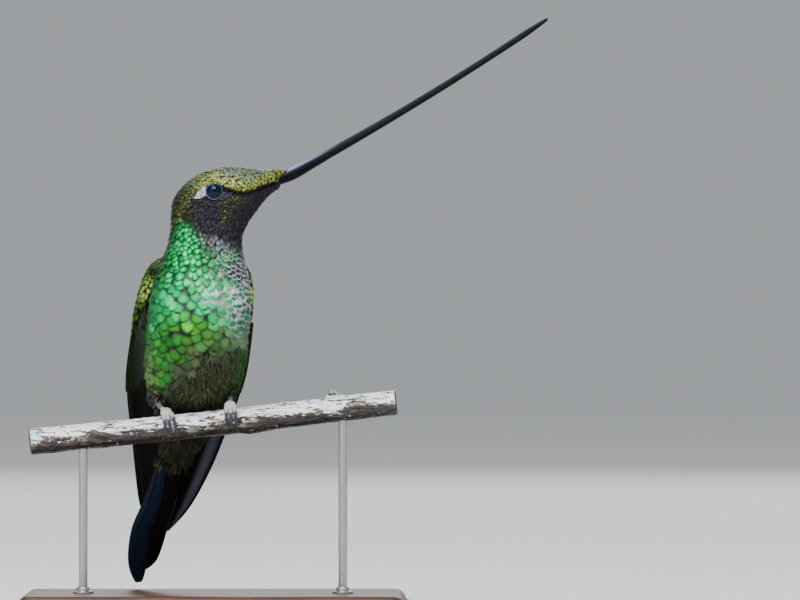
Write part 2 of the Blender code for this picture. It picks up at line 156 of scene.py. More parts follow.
def spline(rows, places):
    """Rows of numbers read at fractional places, on a smooth curve through them all."""
    rows = np.asarray(rows, float)
    last = len(rows) - 1
    places = np.clip(np.asarray(places, float), 0, last)
    start = np.minimum(places.astype(int), last - 1)
    t = (places - start)[:, None]
    a, b, c, d = (rows[np.clip(start + i, 0, last)] for i in (-1, 0, 1, 2))
    return 0.5 * (2 * b + (c - a) * t + (2 * a - 5 * b + 4 * c - d) * t ** 2 + (3 * b - a - 3 * c + d) * t ** 3)


def new_mesh(name, points, faces, smooth_angle=60.0):
    """An object from points in millimetres and a list of face arrays, each with one number of corners."""
    mesh = bpy.data.meshes.new(name)
    loops = np.concatenate([f.ravel() for f in faces])
    totals = np.concatenate([np.full(len(f), f.shape[1]) for f in faces])
    starts = np.concatenate([[0], np.cumsum(totals)[:-1]])
    mesh.vertices.add(len(points))
    mesh.vertices.foreach_set("co", (np.asarray(points) * MM).astype(np.float32).ravel())
    mesh.loops.add(len(loops))
    mesh.loops.foreach_set("vertex_index", loops.astype(np.int32))
    mesh.polygons.add(len(totals))
    mesh.polygons.foreach_set("loop_start", starts.astype(np.int32))
    mesh.update(calc_edges=True)
    mesh.shade_smooth()
    mesh.set_sharp_from_angle(angle=math.radians(smooth_angle))
    obj = bpy.data.objects.new(name, mesh)
    bpy.context.scene.collection.objects.link(obj)
    return obj


def give(obj, **values):
    """Stores one number, three numbers or a colour for each point of a mesh."""
    for name, value in values.items():
        value = np.asarray(value, np.float32)
        if name == "tint":
            layer = obj.data.attributes.new(name, "FLOAT_COLOR", "POINT")
            layer.data.foreach_set("color", np.column_stack([value, np.ones(len(value))]).astype(np.float32).ravel())
        elif value.ndim == 2:
            obj.data.attributes.new(name, "FLOAT_VECTOR", "POINT").data.foreach_set("vector", value.ravel())
        else:
            obj.data.attributes.new(name, "FLOAT", "POINT").data.foreach_set("value", value)


def finish_piece(obj, material, replaces=()):
    obj.data.materials.clear()
    obj.data.materials.append(material)
    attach(obj, "root")
    if replaces:
        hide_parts(*replaces)
    return obj


def corners(*points):
    """Faces from the numbers of their first points, their second points and so on."""
    return np.stack(np.broadcast_arrays(*points), -1).reshape(-1, len(points))


def loft_faces(rings, sides):
    """Quads between closed rings of points that follow one another."""
    i, j = np.arange(rings - 1)[:, None] * sides, np.arange(sides)
    k = (j + 1) % sides
    return corners(i + j, i + k, i + sides + k, i + sides + j)


def capped(rings):
    """Points, quads and triangles of a closed body over rings of equally many points, with a fan over each end."""
    rings = np.asarray(rings, float)
    count, sides = rings.shape[:2]
    j = np.arange(sides)
    k = (j + 1) % sides
    end = (count - 1) * sides
    fans = np.concatenate([corners(count * sides, k, j), corners(count * sides + 1, end + j, end + k)])
    points = np.concatenate([rings.reshape(-1, 3), [rings[0].mean(0)], [rings[-1].mean(0)]])
    return points, loft_faces(count, sides), fans


def loft(name, rings, smooth_angle=60.0, flip=False):
    """An object from capped rings."""
    points, *faces = capped(rings)
    return new_mesh(name, points, [f[:, ::-1] for f in faces] if flip else faces, smooth_angle)


def circle(count, across, up):
    """Points round a unit circle, from one direction towards another."""
    turns = np.linspace(0, math.tau, count, endpoint=False)[:, None]
    return np.cos(turns) * across + np.sin(turns) * up


def tube_rings(path, radii, sides):
    """Rings round a path that don't twist, radius by radius."""
    path = np.asarray(path, float)
    ahead = unit(np.gradient(path, axis=0))
    side = np.cross(ahead[0], Z)
    if np.linalg.norm(side) < 0.1:
        side = np.cross(ahead[0], Y)
    side = unit(side)
    rings = []
    for place, direction, radius in zip(path, ahead, radii):
        side = unit(side - direction * dot(side, direction))
        rings.append(place + circle(sides, side, np.cross(side, direction)) * radius)
    return np.array(rings)


def fuse(obj, voxel, rounds):
    """Turns the active object's overlapping bodies into one smoothed skin. Returns its points in millimetres."""
    remesh = obj.modifiers.new("fuse", "REMESH")
    remesh.mode = "VOXEL"
    remesh.voxel_size = voxel * MM
    smooth = obj.modifiers.new("smooth", "SMOOTH")
    smooth.iterations = rounds
    for modifier in (remesh.name, smooth.name):
        bpy.ops.object.modifier_apply(modifier=modifier)
    return numbers(obj.data.vertices, "co") / MM


# Materials


def plug(made, **sockets):
    """Fills a node's sockets, named or numbered: with a number, a colour, a node's first output or (node, output)."""
    for key, value in sockets.items():
        key = key.strip("_").replace("_", " ")
        socket = made.inputs[int(key) if key.isdigit() else key]
        source = value if isinstance(value, tuple) else (value, 0)
        if isinstance(source[0], bpy.types.Node):
            made.id_data.links.new(source[0].outputs[source[1]], socket)
        else:
            socket.default_value = value
    return made


def node(material, kind, **values):
    """Adds a shader node. Names in small letters are its properties, and the others its sockets."""
    made = material.node_tree.nodes.new("ShaderNode" + kind)
    for key in [key for key in values if key.islower()]:
        setattr(made, key, values.pop(key))
    return plug(made, **values)


def new_material(name, **constants):
    """A Principled material with constants on the shader's own sockets. Returns it and its shader."""
    material = bpy.data.materials.new(name)
    material.use_nodes = True
    return material, plug(material.node_tree.nodes["Principled BSDF"], **constants)


def tinted(material, pattern, gain, least):
    """The tint that the mesh holds, lightened and darkened by a pattern."""
    tint = node(material, "Attribute", attribute_name="tint")
    light = node(material, "Math", operation="MULTIPLY_ADD", _0=pattern, _1=gain, _2=least)
    return node(material, "VectorMath", operation="SCALE", Vector=(tint, "Color"), Scale=light)


def rgba(code):
    return (*linear(code), 1.0)


def feather_material(name, roughness, barb_spacing, barb_depth, sheen, specular):
    """Feather vanes. Their colour and gloss are stored on the mesh; barbs slant from the shaft to each edge."""
    material, shader = new_material(name, Sheen_Weight=sheen, Sheen_Roughness=0.4, Specular_IOR_Level=specular)
    gloss = node(material, "Attribute", attribute_name="gloss")
    vane = node(material, "Attribute", attribute_name="vane")
    parts = node(material, "SeparateXYZ", Vector=(vane, "Vector"))
    aside = node(material, "Math", operation="ABSOLUTE", _0=parts)
    slant = node(material, "Math", operation="MULTIPLY", _0=aside, _1=-0.9)
    along = node(material, "Math", operation="ADD", _0=(parts, 1), _1=slant)
    turns = node(material, "Math", operation="MULTIPLY", _0=along, _1=math.tau / barb_spacing)
    barbs = node(material, "Math", operation="SINE", _0=turns)
    place = node(material, "TexCoord"), "Object"
    patches = node(material, "TexNoise", Vector=place, Scale=900.0, Detail=3.0)
    patches = node(material, "Math", operation="MULTIPLY_ADD", _0=patches, _1=0.6, _2=0.72)
    light = node(material, "Math", operation="MULTIPLY_ADD", _0=barbs, _1=0.07, _2=0.93)
    rough = node(material, "Math", operation="MULTIPLY_ADD", _0=barbs, _1=0.06, _2=roughness)
    bump = node(material, "Bump", Strength=0.5, Distance=barb_depth * MM, Height=barbs)
    light = node(material, "Math", operation="MULTIPLY", _0=light, _1=patches)
    tint = node(material, "Attribute", attribute_name="tint")
    colour = node(material, "VectorMath", operation="SCALE", Vector=(tint, "Color"), Scale=light)
    plug(shader, Base_Color=colour, Metallic=(gloss, "Fac"), Roughness=rough, Normal=bump)
    return material


# Scale-like iridescent feathers: a metallic lustre that changes from vane to vane.
plumage = feather_material("iridescent contour feathers", 0.36, 0.15, 0.010, 0.0, 0.25)
# Loose downy feathers: matt, with soft frayed barbs.
down = feather_material("downy feathers", 0.8, 0.20, 0.015, 0.05, 0.12)
# Stiff flight feathers: dense dark vanes with a satin, slightly oily sheen.
quills = feather_material("flight feathers", 0.5, 0.25, 0.006, 0.0, 0.05)

# The body's own directions
# The line from the bill's base to the tail's tips: a node, fractions of its box, and how far the breast side of the
# section there is turned from +X towards -Y, in degrees from the long axis of the branch.
AXIS = (
    ("head", 0.98, 0.35, 0.88, 86), ("head", 0.73, 0.39, 0.76, 86), ("head", 0.56, 0.42, 0.68, 86),
    ("head", 0.42, 0.45, 0.55, 84), ("head", 0.31, 0.48, 0.35, 76), ("neck", 0.51, 0.44, 0.56, 56),
    ("neck", 0.49, 0.53, 0.18, 34), ("trunk", 0.53, 0.34, 0.77, 22), ("trunk", 0.50, 0.47, 0.60, 22),
    ("trunk", 0.46, 0.61, 0.43, 22), ("trunk", 0.44, 0.74, 0.30, 22), ("trunk", 0.38, 0.83, 0.17, 22),
    ("tail", 0.76, 0.13, 0.96, 22), ("tail", 0.49, 0.45, 0.59, 22), ("tail", 0.29, 0.73, 0.30, 22),
    ("tail", 0.16, 0.98, 0.01, 22),
)
AXIS_SAMPLES = 150


class Guide:
    """A smooth line that gives nearby points their place along it, its direction and any numbers stored on it."""

    def __init__(self, rows, samples, spread):
        read = spline(rows, np.linspace(0, len(rows) - 1, samples))
        self.centre = read[:, :3]
        self.extra = read[:, 3:]
        self.ahead = unit(np.gradient(self.centre, axis=0))
        strides = np.linalg.norm(np.diff(self.centre, axis=0), axis=1)
        self.place = np.concatenate([[0], np.cumsum(strides)])
        self.spread = spread

    def read(self, points):
        away = ((points[:, None, :] - self.centre[None]) ** 2).sum(-1)
        away -= away.min(1, keepdims=True)
        weight = np.exp(-away / (2 * self.spread ** 2))
        weight /= weight.sum(1, keepdims=True)
        return weight @ self.place, weight @ self.centre, unit(weight @ self.ahead), weight @ self.extra


body_line = Guide([[*at(*row[:4]), row[4]] for row in AXIS], AXIS_SAMPLES, 3.0)


def round_body(points):
    """For points near the body: how far from the bill's base along it, the angle round it from the breast's middle
    towards the bird's right, in degrees, and the direction towards the tail."""
    place, centre, ahead, extra = body_line.read(points)
    turn = np.radians(extra[:, 0])
    rightward = np.stack([-np.cos(turn), -np.sin(turn), np.zeros(len(points))], -1)
    rightward = unit(rightward - ahead * dot(rightward, ahead)[:, None])
    breastward = np.cross(rightward, ahead)
    out = points - centre
    return place, np.degrees(np.arctan2(dot(out, rightward), dot(out, breastward))), ahead


def cut(triangles, origin, normal):
    """Points where a plane cuts triangles."""
    height = (triangles - origin) @ normal
    found = []
    for i, j in ((0, 1), (1, 2), (2, 0)):
        crossing = height[:, i] * height[:, j] < 0
        a, b = triangles[crossing, i], triangles[crossing, j]
        share = (height[crossing, i] / (height[crossing, i] - height[crossing, j]))[:, None]
        found.append(a + (b - a) * share)
    return np.concatenate(found)


class Blade:
    """A flat part such as a wing or the tail, read from level cuts through its solids: both edges and its thickness."""

    def __init__(self, nodes, top, bottom, cuts, lead_sign, outward):
        points, faces = solid(*nodes)
        triangles = points[faces]
        rows = []
        for level in np.linspace(top, bottom, cuts):
            found = cut(triangles, Z * level, Z)
            middle = found.mean(0)
            across = np.linalg.svd(found - middle, full_matrices=False)[2][0]
            across = across * np.sign(dot(across, np.array(lead_sign)))
            reach = (found - middle) @ across
            thick = np.ptp((found - middle) @ np.cross(across, Z))
            rows.append([*(middle + across * reach.min()), *(middle + across * reach.max()), thick])
        rows = np.array(rows)
        for _ in range(3):
            rows[1:-1] = (rows[:-2] + 2 * rows[1:-1] + rows[2:]) / 4
        self.rows = rows
        self.outward = np.array(outward)

    def read(self, t):
        """Leading edge, direction across, chord, outward normal and thickness at fractions of the length."""
        shape = np.shape(t)
        rows = spline(self.rows, np.ravel(t) * (len(self.rows) - 1))
        lead, trail = rows[:, :3], rows[:, 3:6]
        chord = np.linalg.norm(trail - lead, axis=1)
        across = unit(trail - lead)
        later = spline(self.rows, np.ravel(t) * (len(self.rows) - 1) + 0.2)
        earlier = spline(self.rows, np.ravel(t) * (len(self.rows) - 1) - 0.2)
        along = unit((later - earlier)[:, :3] + (later - earlier)[:, 3:6])
        normal = unit(np.cross(across, along))
        normal *= np.sign(dot(normal, self.outward))[:, None]
        return tuple(a.reshape(shape + a.shape[1:]) for a in (lead, across, chord, normal, rows[:, 6]))

    def near(self, points):
        """For points on the blade: fractions of its length and chord, how far out of its middle they lie, the
        direction towards its tip and its outward normal."""
        levels = self.rows[:, 2]
        t = np.interp(-points[:, 2], -levels, np.linspace(0, 1, len(levels)))
        lead, across, chord, normal, _ = self.read(t)
        later = self.read(np.minimum(t + 0.03, 1.0))
        ahead = unit(later[0] + later[1] * (later[2] * 0.5)[:, None] - lead - across * (chord * 0.5)[:, None])
        return t, dot(points - lead, across) / chord, dot(points - lead, normal), ahead, normal


TRAILING = (0.0, 1.0, 0.0)
RIGHTWARD = (-0.93, 0.37, 0.0)
LEFTWARD = (0.93, 0.37, 0.0)
BREASTWARD = (0.2, -0.97, 0.0)
wing_blades = {
    "right": Blade(("wing_right", "primaries_right"), 93.5, at("primaries_right", 0, 0, 0)[2] + 0.4, 34, TRAILING,
                   RIGHTWARD),
    "left": Blade(("wing_left", "primaries_left"), 94.5, at("primaries_left", 0, 0, 0)[2] + 0.4, 34, TRAILING,
                  LEFTWARD),
}
tail_blade = Blade(("tail",), 42.0, at("tail", 0, 0, 0)[2] + 0.5, 24, (1.0, 0.0, 0.0), BREASTWARD)

# The bill's own directions. Its horn runs back under the feathers of the head, which end on it in a slanting line.
bill_points = solid("bill_upper", "bill_lower")[0]
bill_tip = bill_points[np.argmax(bill_points[:, 0])]
bill_root = bill_points[bill_points[:, 0] < bill_points[:, 0].min() + 1.5].mean(0)
bill_way = unit(bill_tip - bill_root)
bill_length = dot(bill_points - bill_root, bill_way).max()
bill_up = unit(Z - bill_way * bill_way[2])
bill_side = np.cross(bill_way, bill_up)


def past_feathers(points):
    """How far along the bill points lie past the end of the head's feathers: it starts at the gape, and runs up to
    the point of the forehead."""
    height = dot(points - bill_root, bill_up)
    return dot(points - bill_root, bill_way) - np.interp(height, (-1.9, -0.8, 0.2, 1.3),
                                                                     (-3.3, -4.3, -4.6, 0.4))


# Skin: one surface under all the feathers
FLESH = ("head", "neck", "trunk", "leg_right", "leg_left", "wing_right", "wing_left")
SEAM_FILL = 0.24  # how far each solid grows before the seams between them close
SKIN_VOXEL = 0.5
EYE_RADIUS = 2.75
EYE_OPENING = 2.15  # radius of the visible part
SOCKET_RADIUS = 2.45  # the skin's bowl under each eye, and how far its edge blends into the face
SOCKET_EDGE = (2.2, 3.4)
eye_centres = {side: at("eye_" + side, 0.5, 0.5, 0.5) for side in ("right", "left")}

flesh_trees = {
    "body": tree_of(*solid("head", "neck", "trunk")),
    "wing_right": tree_of(*solid("wing_right")),
    "wing_left": tree_of(*solid("wing_left")),
    "thigh": tree_of(*solid("leg_right", "leg_left")),
}
REGIONS = ("body", "wing_right", "wing_left", "thigh")


def region_of(points):
    """Which of REGIONS each point lies nearest."""
    return np.argmin([distance_to(flesh_trees[name], points) for name in REGIONS], axis=0)


def coat_depth(place, region):
    """How far the feathers stand over the skin."""
    along = np.interp(place, (0, 1.5, 4, 10, 22, 34, 45, 60, 90, 105),
                      (1.0, 0.8, 0.4, 0.36, 0.45, 0.75, 0.95, 1.0, 1.0, 0.7))
    return np.where(region == 0, along, np.where(region == 3, 0.6, 0.45))


def make_skin():
    deselect()
    work = bmesh.new()
    for name in FLESH + ("eye_right", "eye_left"):
        part = merged(name)
        part.normal_update()
        grow = -0.15 if name.startswith("eye") else SEAM_FILL
        for vert in part.verts:
            vert.co += vert.normal * grow * MM
        held = bpy.data.meshes.new("part")
        part.to_mesh(held)
        part.free()
        work.from_mesh(held)
        bpy.data.meshes.remove(held)
    mesh = bpy.data.meshes.new("skin")
    work.to_mesh(mesh)
    work.free()
    skin = bpy.data.objects.new("skin", mesh)
    bpy.context.scene.collection.objects.link(skin)
    bpy.context.view_layer.objects.active = skin
    skin.select_set(True)
    points = fuse(skin, SKIN_VOXEL, 6)
    mesh = skin.data
    normals = numbers(mesh.vertex_normals, "vector")
    place = round_body(points)[0]
    region = region_of(points)
    points = points - normals * (coat_depth(place, region) + SEAM_FILL)[:, None]
    # Where the horn comes out of the feathers the skin dips inside it.
    axis = bill_root + bill_way * dot(points - bill_root, bill_way)[:, None] - bill_up * 0.2
    points = mix(points, axis + (points - axis) * 0.5, step(-0.9, 0.4, past_feathers(points)))
    # The wing's own flesh ends thin, so that the flight feathers lie over it.
    for side, number in (("right", 1), ("left", 2)):
        arm = region == number
        t, _, out, _, normal = wing_blades[side].near(points[arm])
        points[arm] -= normal * (out * 0.8 * step(0.08, 0.24, t))[:, None]
    for side, centre in eye_centres.items():
        outward = -Y if side == "right" else Y
        offset = points - centre
        reach = np.hypot(offset[:, 0], offset[:, 2])
        near = (dot(offset, outward) > -0.5) & (reach < SOCKET_EDGE[1])
        bowl = np.sqrt(np.maximum(SOCKET_RADIUS ** 2 - reach ** 2, SOCKET_RADIUS ** 2 - 2.1 ** 2)) - 0.15
        blend = 1 - step(*SOCKET_EDGE, reach)
        wanted = centre + outward * bowl[:, None] + offset * (1 - np.abs(outward))
        points[near] = mix(points[near], wanted[near], blend[near])
    mesh.vertices.foreach_set("co", (points * MM).ravel())
    mesh.update()
    mesh.shade_smooth()
    return skin, points


skin, skin_points = make_skin()


def triangles_of(mesh):
    mesh.calc_loop_triangles()
    return numbers(mesh.loop_triangles, "vertices", 3, np.int32)


skin_triangles = triangles_of(skin.data)


class Surface:
    """A triangle surface with smooth normals that feathers are laid on."""

    def __init__(self, points, faces):
        self.points, self.faces = points, faces
        self.tree = tree_of(points, faces)
        corner = points[faces]
        normals = np.zeros_like(points)
        flat = np.cross(corner[:, 1] - corner[:, 0], corner[:, 2] - corner[:, 0])
        for i in range(3):
            np.add.at(normals, faces[:, i], flat)
        self.normals = unit(normals)

    def nearest(self, points):
        """The closest points on the surface and its smooth normals there."""
        flat = points.reshape(-1, 3)
        found = [self.tree.find_nearest(p) for p in flat.tolist()]
        place = np.array([f[0] for f in found])
        corners = self.faces[[f[2] for f in found]]
        a, b, c = (self.points[corners[:, i]] for i in range(3))
        ab, ac, ap = b - a, c - a, place - a
        d00, d01, d11 = dot(ab, ab), dot(ab, ac), dot(ac, ac)
        d20, d21 = dot(ap, ab), dot(ap, ac)
        span = np.maximum(d00 * d11 - d01 * d01, 1e-12)
        v = np.clip((d11 * d20 - d01 * d21) / span, 0, 1)
        w = np.clip((d00 * d21 - d01 * d20) / span, 0, 1)
        u = np.clip(1 - v - w, 0, 1)
        normal = sum(self.normals[corners[:, i]] * s[:, None] for i, s in enumerate((u, v, w)))
        return place.reshape(points.shape), unit(normal).reshape(points.shape)


def joined(first, second, sink):
    """Two surfaces' points and faces as one. The second is sunk along its normals."""
    points, faces = second
    sunk = points - Surface(points, faces).normals * sink
    return np.concatenate([first[0], sunk]), np.concatenate([first[1], faces + len(first[0])])


body_surface = Surface(*joined(joined((skin_points, skin_triangles), solid("tail"), 0.3), solid("bill_upper"), 0.1))
arm_points, arm_faces = solid("wing_right", "wing_left")
arm_points = arm_points - Surface(arm_points, arm_faces).normals * 0.45
wing_surface = Surface(*joined((arm_points, arm_faces), solid("primaries_right", "primaries_left"), 0.1))

# Markings, shared by skin and coat
GOLD, GOLD_GREEN, BRONZE = linear("#a3a852"), linear("#86997a"), linear("#37380f")
NAPE_GREEN, BACK_GREEN, FLANK_GREEN = linear("#3f5f28"), linear("#3c5a26"), linear("#247a26")
EMERALD, JADE, TEAL = linear("#00cc6a"), linear("#00dc82"), linear("#0e4c3e")
GRASS, LIME, OLIVE = linear("#4ba524"), linear("#a4cc55"), linear("#43432f")
PLUM, LORE, DUSK = linear("#37323b"), linear("#4e4a5e"), linear("#323136")
SLATE, ASH, WHITE = linear("#3b3b42"), linear("#8d8c92"), linear("#f0eff4")
SOOT, BLACK = linear("#15150e"), linear("#070808")


def within(x, y, outline, soft):
    """1 inside a convex outline whose corners run anticlockwise, and 0 outside it."""
    depth = np.full(np.shape(x), 9.0)
    for (ax, ay), (bx, by) in zip(outline, outline[1:] + outline[:1]):
        depth = np.minimum(depth, ((bx - ax) * (y - ay) - (by - ay) * (x - ax)) / math.hypot(bx - ax, by - ay))
    return step(-soft, soft, depth)


def drift(points, scale, seed):
    """Smooth noise from about -1 to 1, which breaks up the borders between markings."""
    return np.array([noise.noise(Vector(p) * scale + Vector((seed, 0, 0))) for p in points.tolist()])


def dabbed(colour, x, y, *dabs):
    """A colour with dabs of others over it. Each dab: its colour, how strong it is, and its blob's shape."""
    for other, strength, *shape in dabs:
        colour = mix(colour, other, strength * blob(x, y, *shape))
    return colour


EYE_SPOT = ((-3.9, 118.4), (-1.4, 118.3), (-1.8, 120.8))


def markings(points, place, angle):
    """For places on the body: the colour of the feather tips, of their bases and of their fringe, how strong the
    fringe is, the gloss, how loose the feather is, how little of it is coloured and how far into the belly it lies."""
    wobble = drift(points, 0.22, 3.0)
    other = drift(points, 0.22, 40.0)
    x, z = points[:, 0] + 1.2 * other, points[:, 2] + 1.6 * wobble
    ventral = 1 - step(75, 120, np.abs(angle))
    # Trunk: green discs on the breast, dark olive on the belly, bronze-green behind. The belly's olive, darkest at the
    # vent, is its own duller colour and also painted shade below the lit breast.
    breast = mix(EMERALD, FLANK_GREEN, step(84, 77, z))
    breast = dabbed(breast, x, z, (JADE, 1, (-2.0, 91.0), (11.5, 7.5)), (GRASS, 1, (-6.5, 84.0), (7.0, 5.5)))
    breast = mix(breast, FLANK_GREEN, np.maximum(blob(x, z, (-14.0, 76.0), (5.0, 11.0)), blob(x, z, (-12, 66), (6, 5))))
    # The dark teal down the bird's left side is painted shade: there the iridescent green is turned away from the
    # light.
    breast = dabbed(breast, x, z, (LIME * 0.32, 0.85, (-17.2, 69.0), (2.2, 9.0)),
                    (GRASS * 0.4 + OLIVE, 0.85, (1.2, 80.6), (6.5, 5.0)),
                    (OLIVE + FLANK_GREEN * 0.25, 0.8, (-4.5, 75.5), (6.5, 4.0)), (TEAL, 0.92, (9.0, 90.0), (4.6, 18.0)))
    tip = mix(BACK_GREEN, breast, ventral)
    edge = np.interp(x, (-16.5, -14.8, -12.0, -7.4, -1.0, 6.3), (61.5, 65.0, 69.5, 74.0, 78.0, 79.8))
    edge = edge + 3.0 * drift(points, 0.4, 21.0)
    belly = step(2.0, -2.4, z - edge) * ventral
    tip = mix(tip, OLIVE + tip * 0.3, 0.65 * step(7.0, 0.5, z - edge) * ventral * step(-13, -8, x))
    ravelled = step(1.6, -1.6, z - edge + 4.5 + 2.4 * drift(points, 0.9, 33.0)) * ventral
    flank = blob(x, z, (9.2, 70.0), (2.8, 12.0))
    belly = belly * (1 - 0.8 * flank) * (1 - step(60, 85, np.abs(angle)) * step(58, 64, z))
    tip = mix(tip, FLANK_GREEN * 0.8, 0.8 * flank)
    # Partly painted shade: the belly darkens below the lit breast.
    tip = mix(tip, OLIVE + tip * 0.08, belly * 0.95)
    vent = np.maximum(step(63, 57, z), step(67.5, 63, z) * step(-10.5, -13.5, x)) * (1 - step(125, 150, np.abs(angle)))
    tip = mix(tip, SOOT, vent)
    tip = mix(tip, OLIVE * 0.8 + tip * 0.25, step(70.0, 67.0, z) * step(-12.5, -15.0, x) * ventral)
    base = mix(BLACK * 1.5, SLATE * 0.35, belly)
    # Pale bases show between the discs in the middle of the upper breast.
    bare = np.maximum(blob(x, z, (2.2, 93.4), (8.0, 4.6), -15), blob(x, z, (6.8, 92.0), (3.6, 9.0)))
    bare = np.maximum(bare, 0.7 * blob(x, z, (3.4, 98.2), (3.2, 2.6))) * ventral
    base = mix(base, WHITE, np.maximum(bare, 0.10 * blob(x, z, (-2.0, 91.0), (11.0, 8.0)) * ventral))
    laced = blob(x, z, (7.4, 95.5), (5.0, 14.0)) * ventral
    fringe_colour = mix(BLACK, WHITE * 0.85, laced)
    fringe = 0.55 + 0.40 * laced - 0.3 * belly
    gloss = 0.78 - 0.72 * belly - 0.2 * bare - 0.2 * laced
    # Neck: emerald at the sides, bronze-green behind, dusky in front.
    neck = step(41, 34, place)
    front = step(-6.5, 2.0, x - 0.42 * (104 - z)) * step(94, 99, z)
    hind = step(105, 150, np.abs(angle))
    tip = mix(tip, mix(EMERALD, NAPE_GREEN, hind), neck)
    base = mix(base, tip * 0.2, 0.7 * neck)
    tip = mix(tip, GRASS * 0.6, 0.7 * blob(x, z, (2.0, 103.5), (4.5, 2.6), -30) * (1 - hind))
    throat = front * (1 - hind)
    tip = mix(tip, DUSK, throat * (1 - 0.5 * blob(x, z, (3.0, 103.0), (4.0, 2.6))))
    base = mix(base, BLACK, throat * step(97, 102, z))
    gloss = gloss * (1 - 0.85 * throat)
    streaked = throat * blob(x, z, (5.8, 101.6), (6.5, 7.0))
    fringe_colour = mix(fringe_colour, WHITE * 0.85, streaked)
    fringe = np.maximum(fringe * (1 - 0.5 * throat) * (1 - 0.3 * neck), 0.95 * streaked)
    # Head: golden-green crown, plum cheeks, dark throat, a black line from the gape and a white spot behind the eye.
    x, z = points[:, 0], points[:, 2] + 0.5 * wobble
    head = step(106.5, 111.0, z + 0.55 * (x + 2.0))
    brow = z - np.interp(x, (-12, -8, -4.0, -1.0, 2.5, 5.2, 7.6, 10.5, 14.8, 17.7, 22.5),
                         (108, 113.5, 119.3, 121.6, 121.7, 120.6, 119.6, 119.6, 121.0, 122.2, 124.2))
    crown = step(-0.4, 0.3, brow)
    greyer = step(-0.3, 0.3, drift(points, 0.5, 80.0) + 0.30 * (brow - 3.4))
    crown_tip = mix(GOLD, GOLD_GREEN, greyer)
    nape = np.maximum(step(-3.0, -7.5, x), step(2.0, -4.0, x) * step(123.5, 119.5, z))
    crown_tip = mix(crown_tip, crown_tip * (0.45, 0.62, 0.6), step(3.5, -2.5, x) * step(0.8, 2.6, brow))
    crown_tip = mix(crown_tip, BRONZE, nape * 0.9)
    cheek_tip = mix(PLUM, DUSK, step(2.0, 8.0, x - 0.7 * (z - 112)))
    # The gold flecks on the cheeks are painted glints of light off iridescent feathers; they are glossier too.
    fleck = np.maximum(blob(x, z, (7.0, 117.4), (3.6, 1.9), 20), blob(x, z, (4.8, 114.0), (1.6, 3.4), -15))
    fleck = fleck * step(-0.1, 0.2, drift(points, 2.4, 60.0))
    cheek_tip = mix(cheek_tip, GOLD * 0.5, fleck * 0.75)
    cheek_tip = dabbed(cheek_tip, x, z, (BRONZE, 0.8, (-6.5, 113.0), (2.2, 5.0), -20),
                       (LORE, 1, (4.5, 119.6), (1.7, 1.2), -20))
    head_tip = mix(cheek_tip, crown_tip, crown)
    stripe_width = np.interp(x, (3, 6, 8, 22), (0.45, 0.95, 0.78, 0.62))
    stripe = np.exp(-((brow + 0.2) / stripe_width) ** 4) * step(2.4, 3.6, x)
    head_tip = mix(head_tip, BLACK * 0.25, stripe)
    spot = within(points[:, 0], points[:, 2], EYE_SPOT, 0.25)
    head_tip = mix(head_tip, WHITE, spot)
    tip = mix(tip, head_tip, head)
    tip = mix(tip, ASH * 0.9, 0.7 * blob(x, z, (1.2, 106.6), (4.4, 1.9), -14) * step(110, 80, np.abs(angle)))
    base = mix(base, mix(mix(cheek_tip * 0.55, BRONZE * 0.35, crown), WHITE, spot), head)
    fringe_colour = mix(fringe_colour, mix(BLACK, WHITE, spot), head)
    fringe = fringe * (1 - head) + head * (0.4 * crown + 0.15)
    gloss = gloss * (1 - head) + head * (0.45 * crown + 0.35 * fleck + 0.05) * (1 - spot)
    face = head * (1 - crown) * step(34, 30, place)
    loose = np.clip(np.maximum(np.minimum(belly, ravelled), step(60, 56, z)), 0, 1)
    return tip, base, fringe_colour, fringe, gloss, np.where(face > 0.5, 0.4, loose), bare, belly


skin_material, shader = new_material("feathered skin", Roughness=0.8, Specular_IOR_Level=0.2)
place = node(skin_material, "TexCoord"), "Object"
grain = node(skin_material, "TexNoise", Vector=place, Scale=1800.0, Detail=4.0)
plug(shader, Base_Color=tinted(skin_material, grain, 0.7, 0.6),
     Normal=node(skin_material, "Bump", Strength=0.6, Distance=0.1 * MM, Height=grain))

skin_place, skin_angle, _ = round_body(skin_points)
skin_tip, skin_base, *_, skin_loose, _, skin_belly = markings(skin_points, skin_place, skin_angle)
skin_region = region_of(skin_points)
# Painted shade: the skin shows only in the gaps, so it takes the feathers' colours darkened to 0.4, and black under the
# wings.
skin_shaded_tint = mix(skin_base, skin_tip, 0.3) * 0.4
skin_shaded_tint[(skin_region == 1) | (skin_region == 2)] = BLACK
give(skin, tint=skin_shaded_tint)
finish_piece(skin, skin_material, FLESH)

# Coat: vanes laid like shingles
COLUMNS = 7
ROWS = 9
CANDIDATES = 14  # tried places for each one kept


def vane_outline(v, widest, root_width):
    """Half width of a vane, over its largest, at fractions of its length."""
    rising = root_width + (1 - root_width) * np.sin(np.clip(v / widest, 0, 1) * math.pi / 2) ** 1.2
    falling = np.sqrt(np.clip(1 - (np.clip(v - widest, 0, 1) / (1 - widest)) ** 2, 0.0, 1))
    return np.where(v < widest, rising, np.maximum(falling, 0.05))


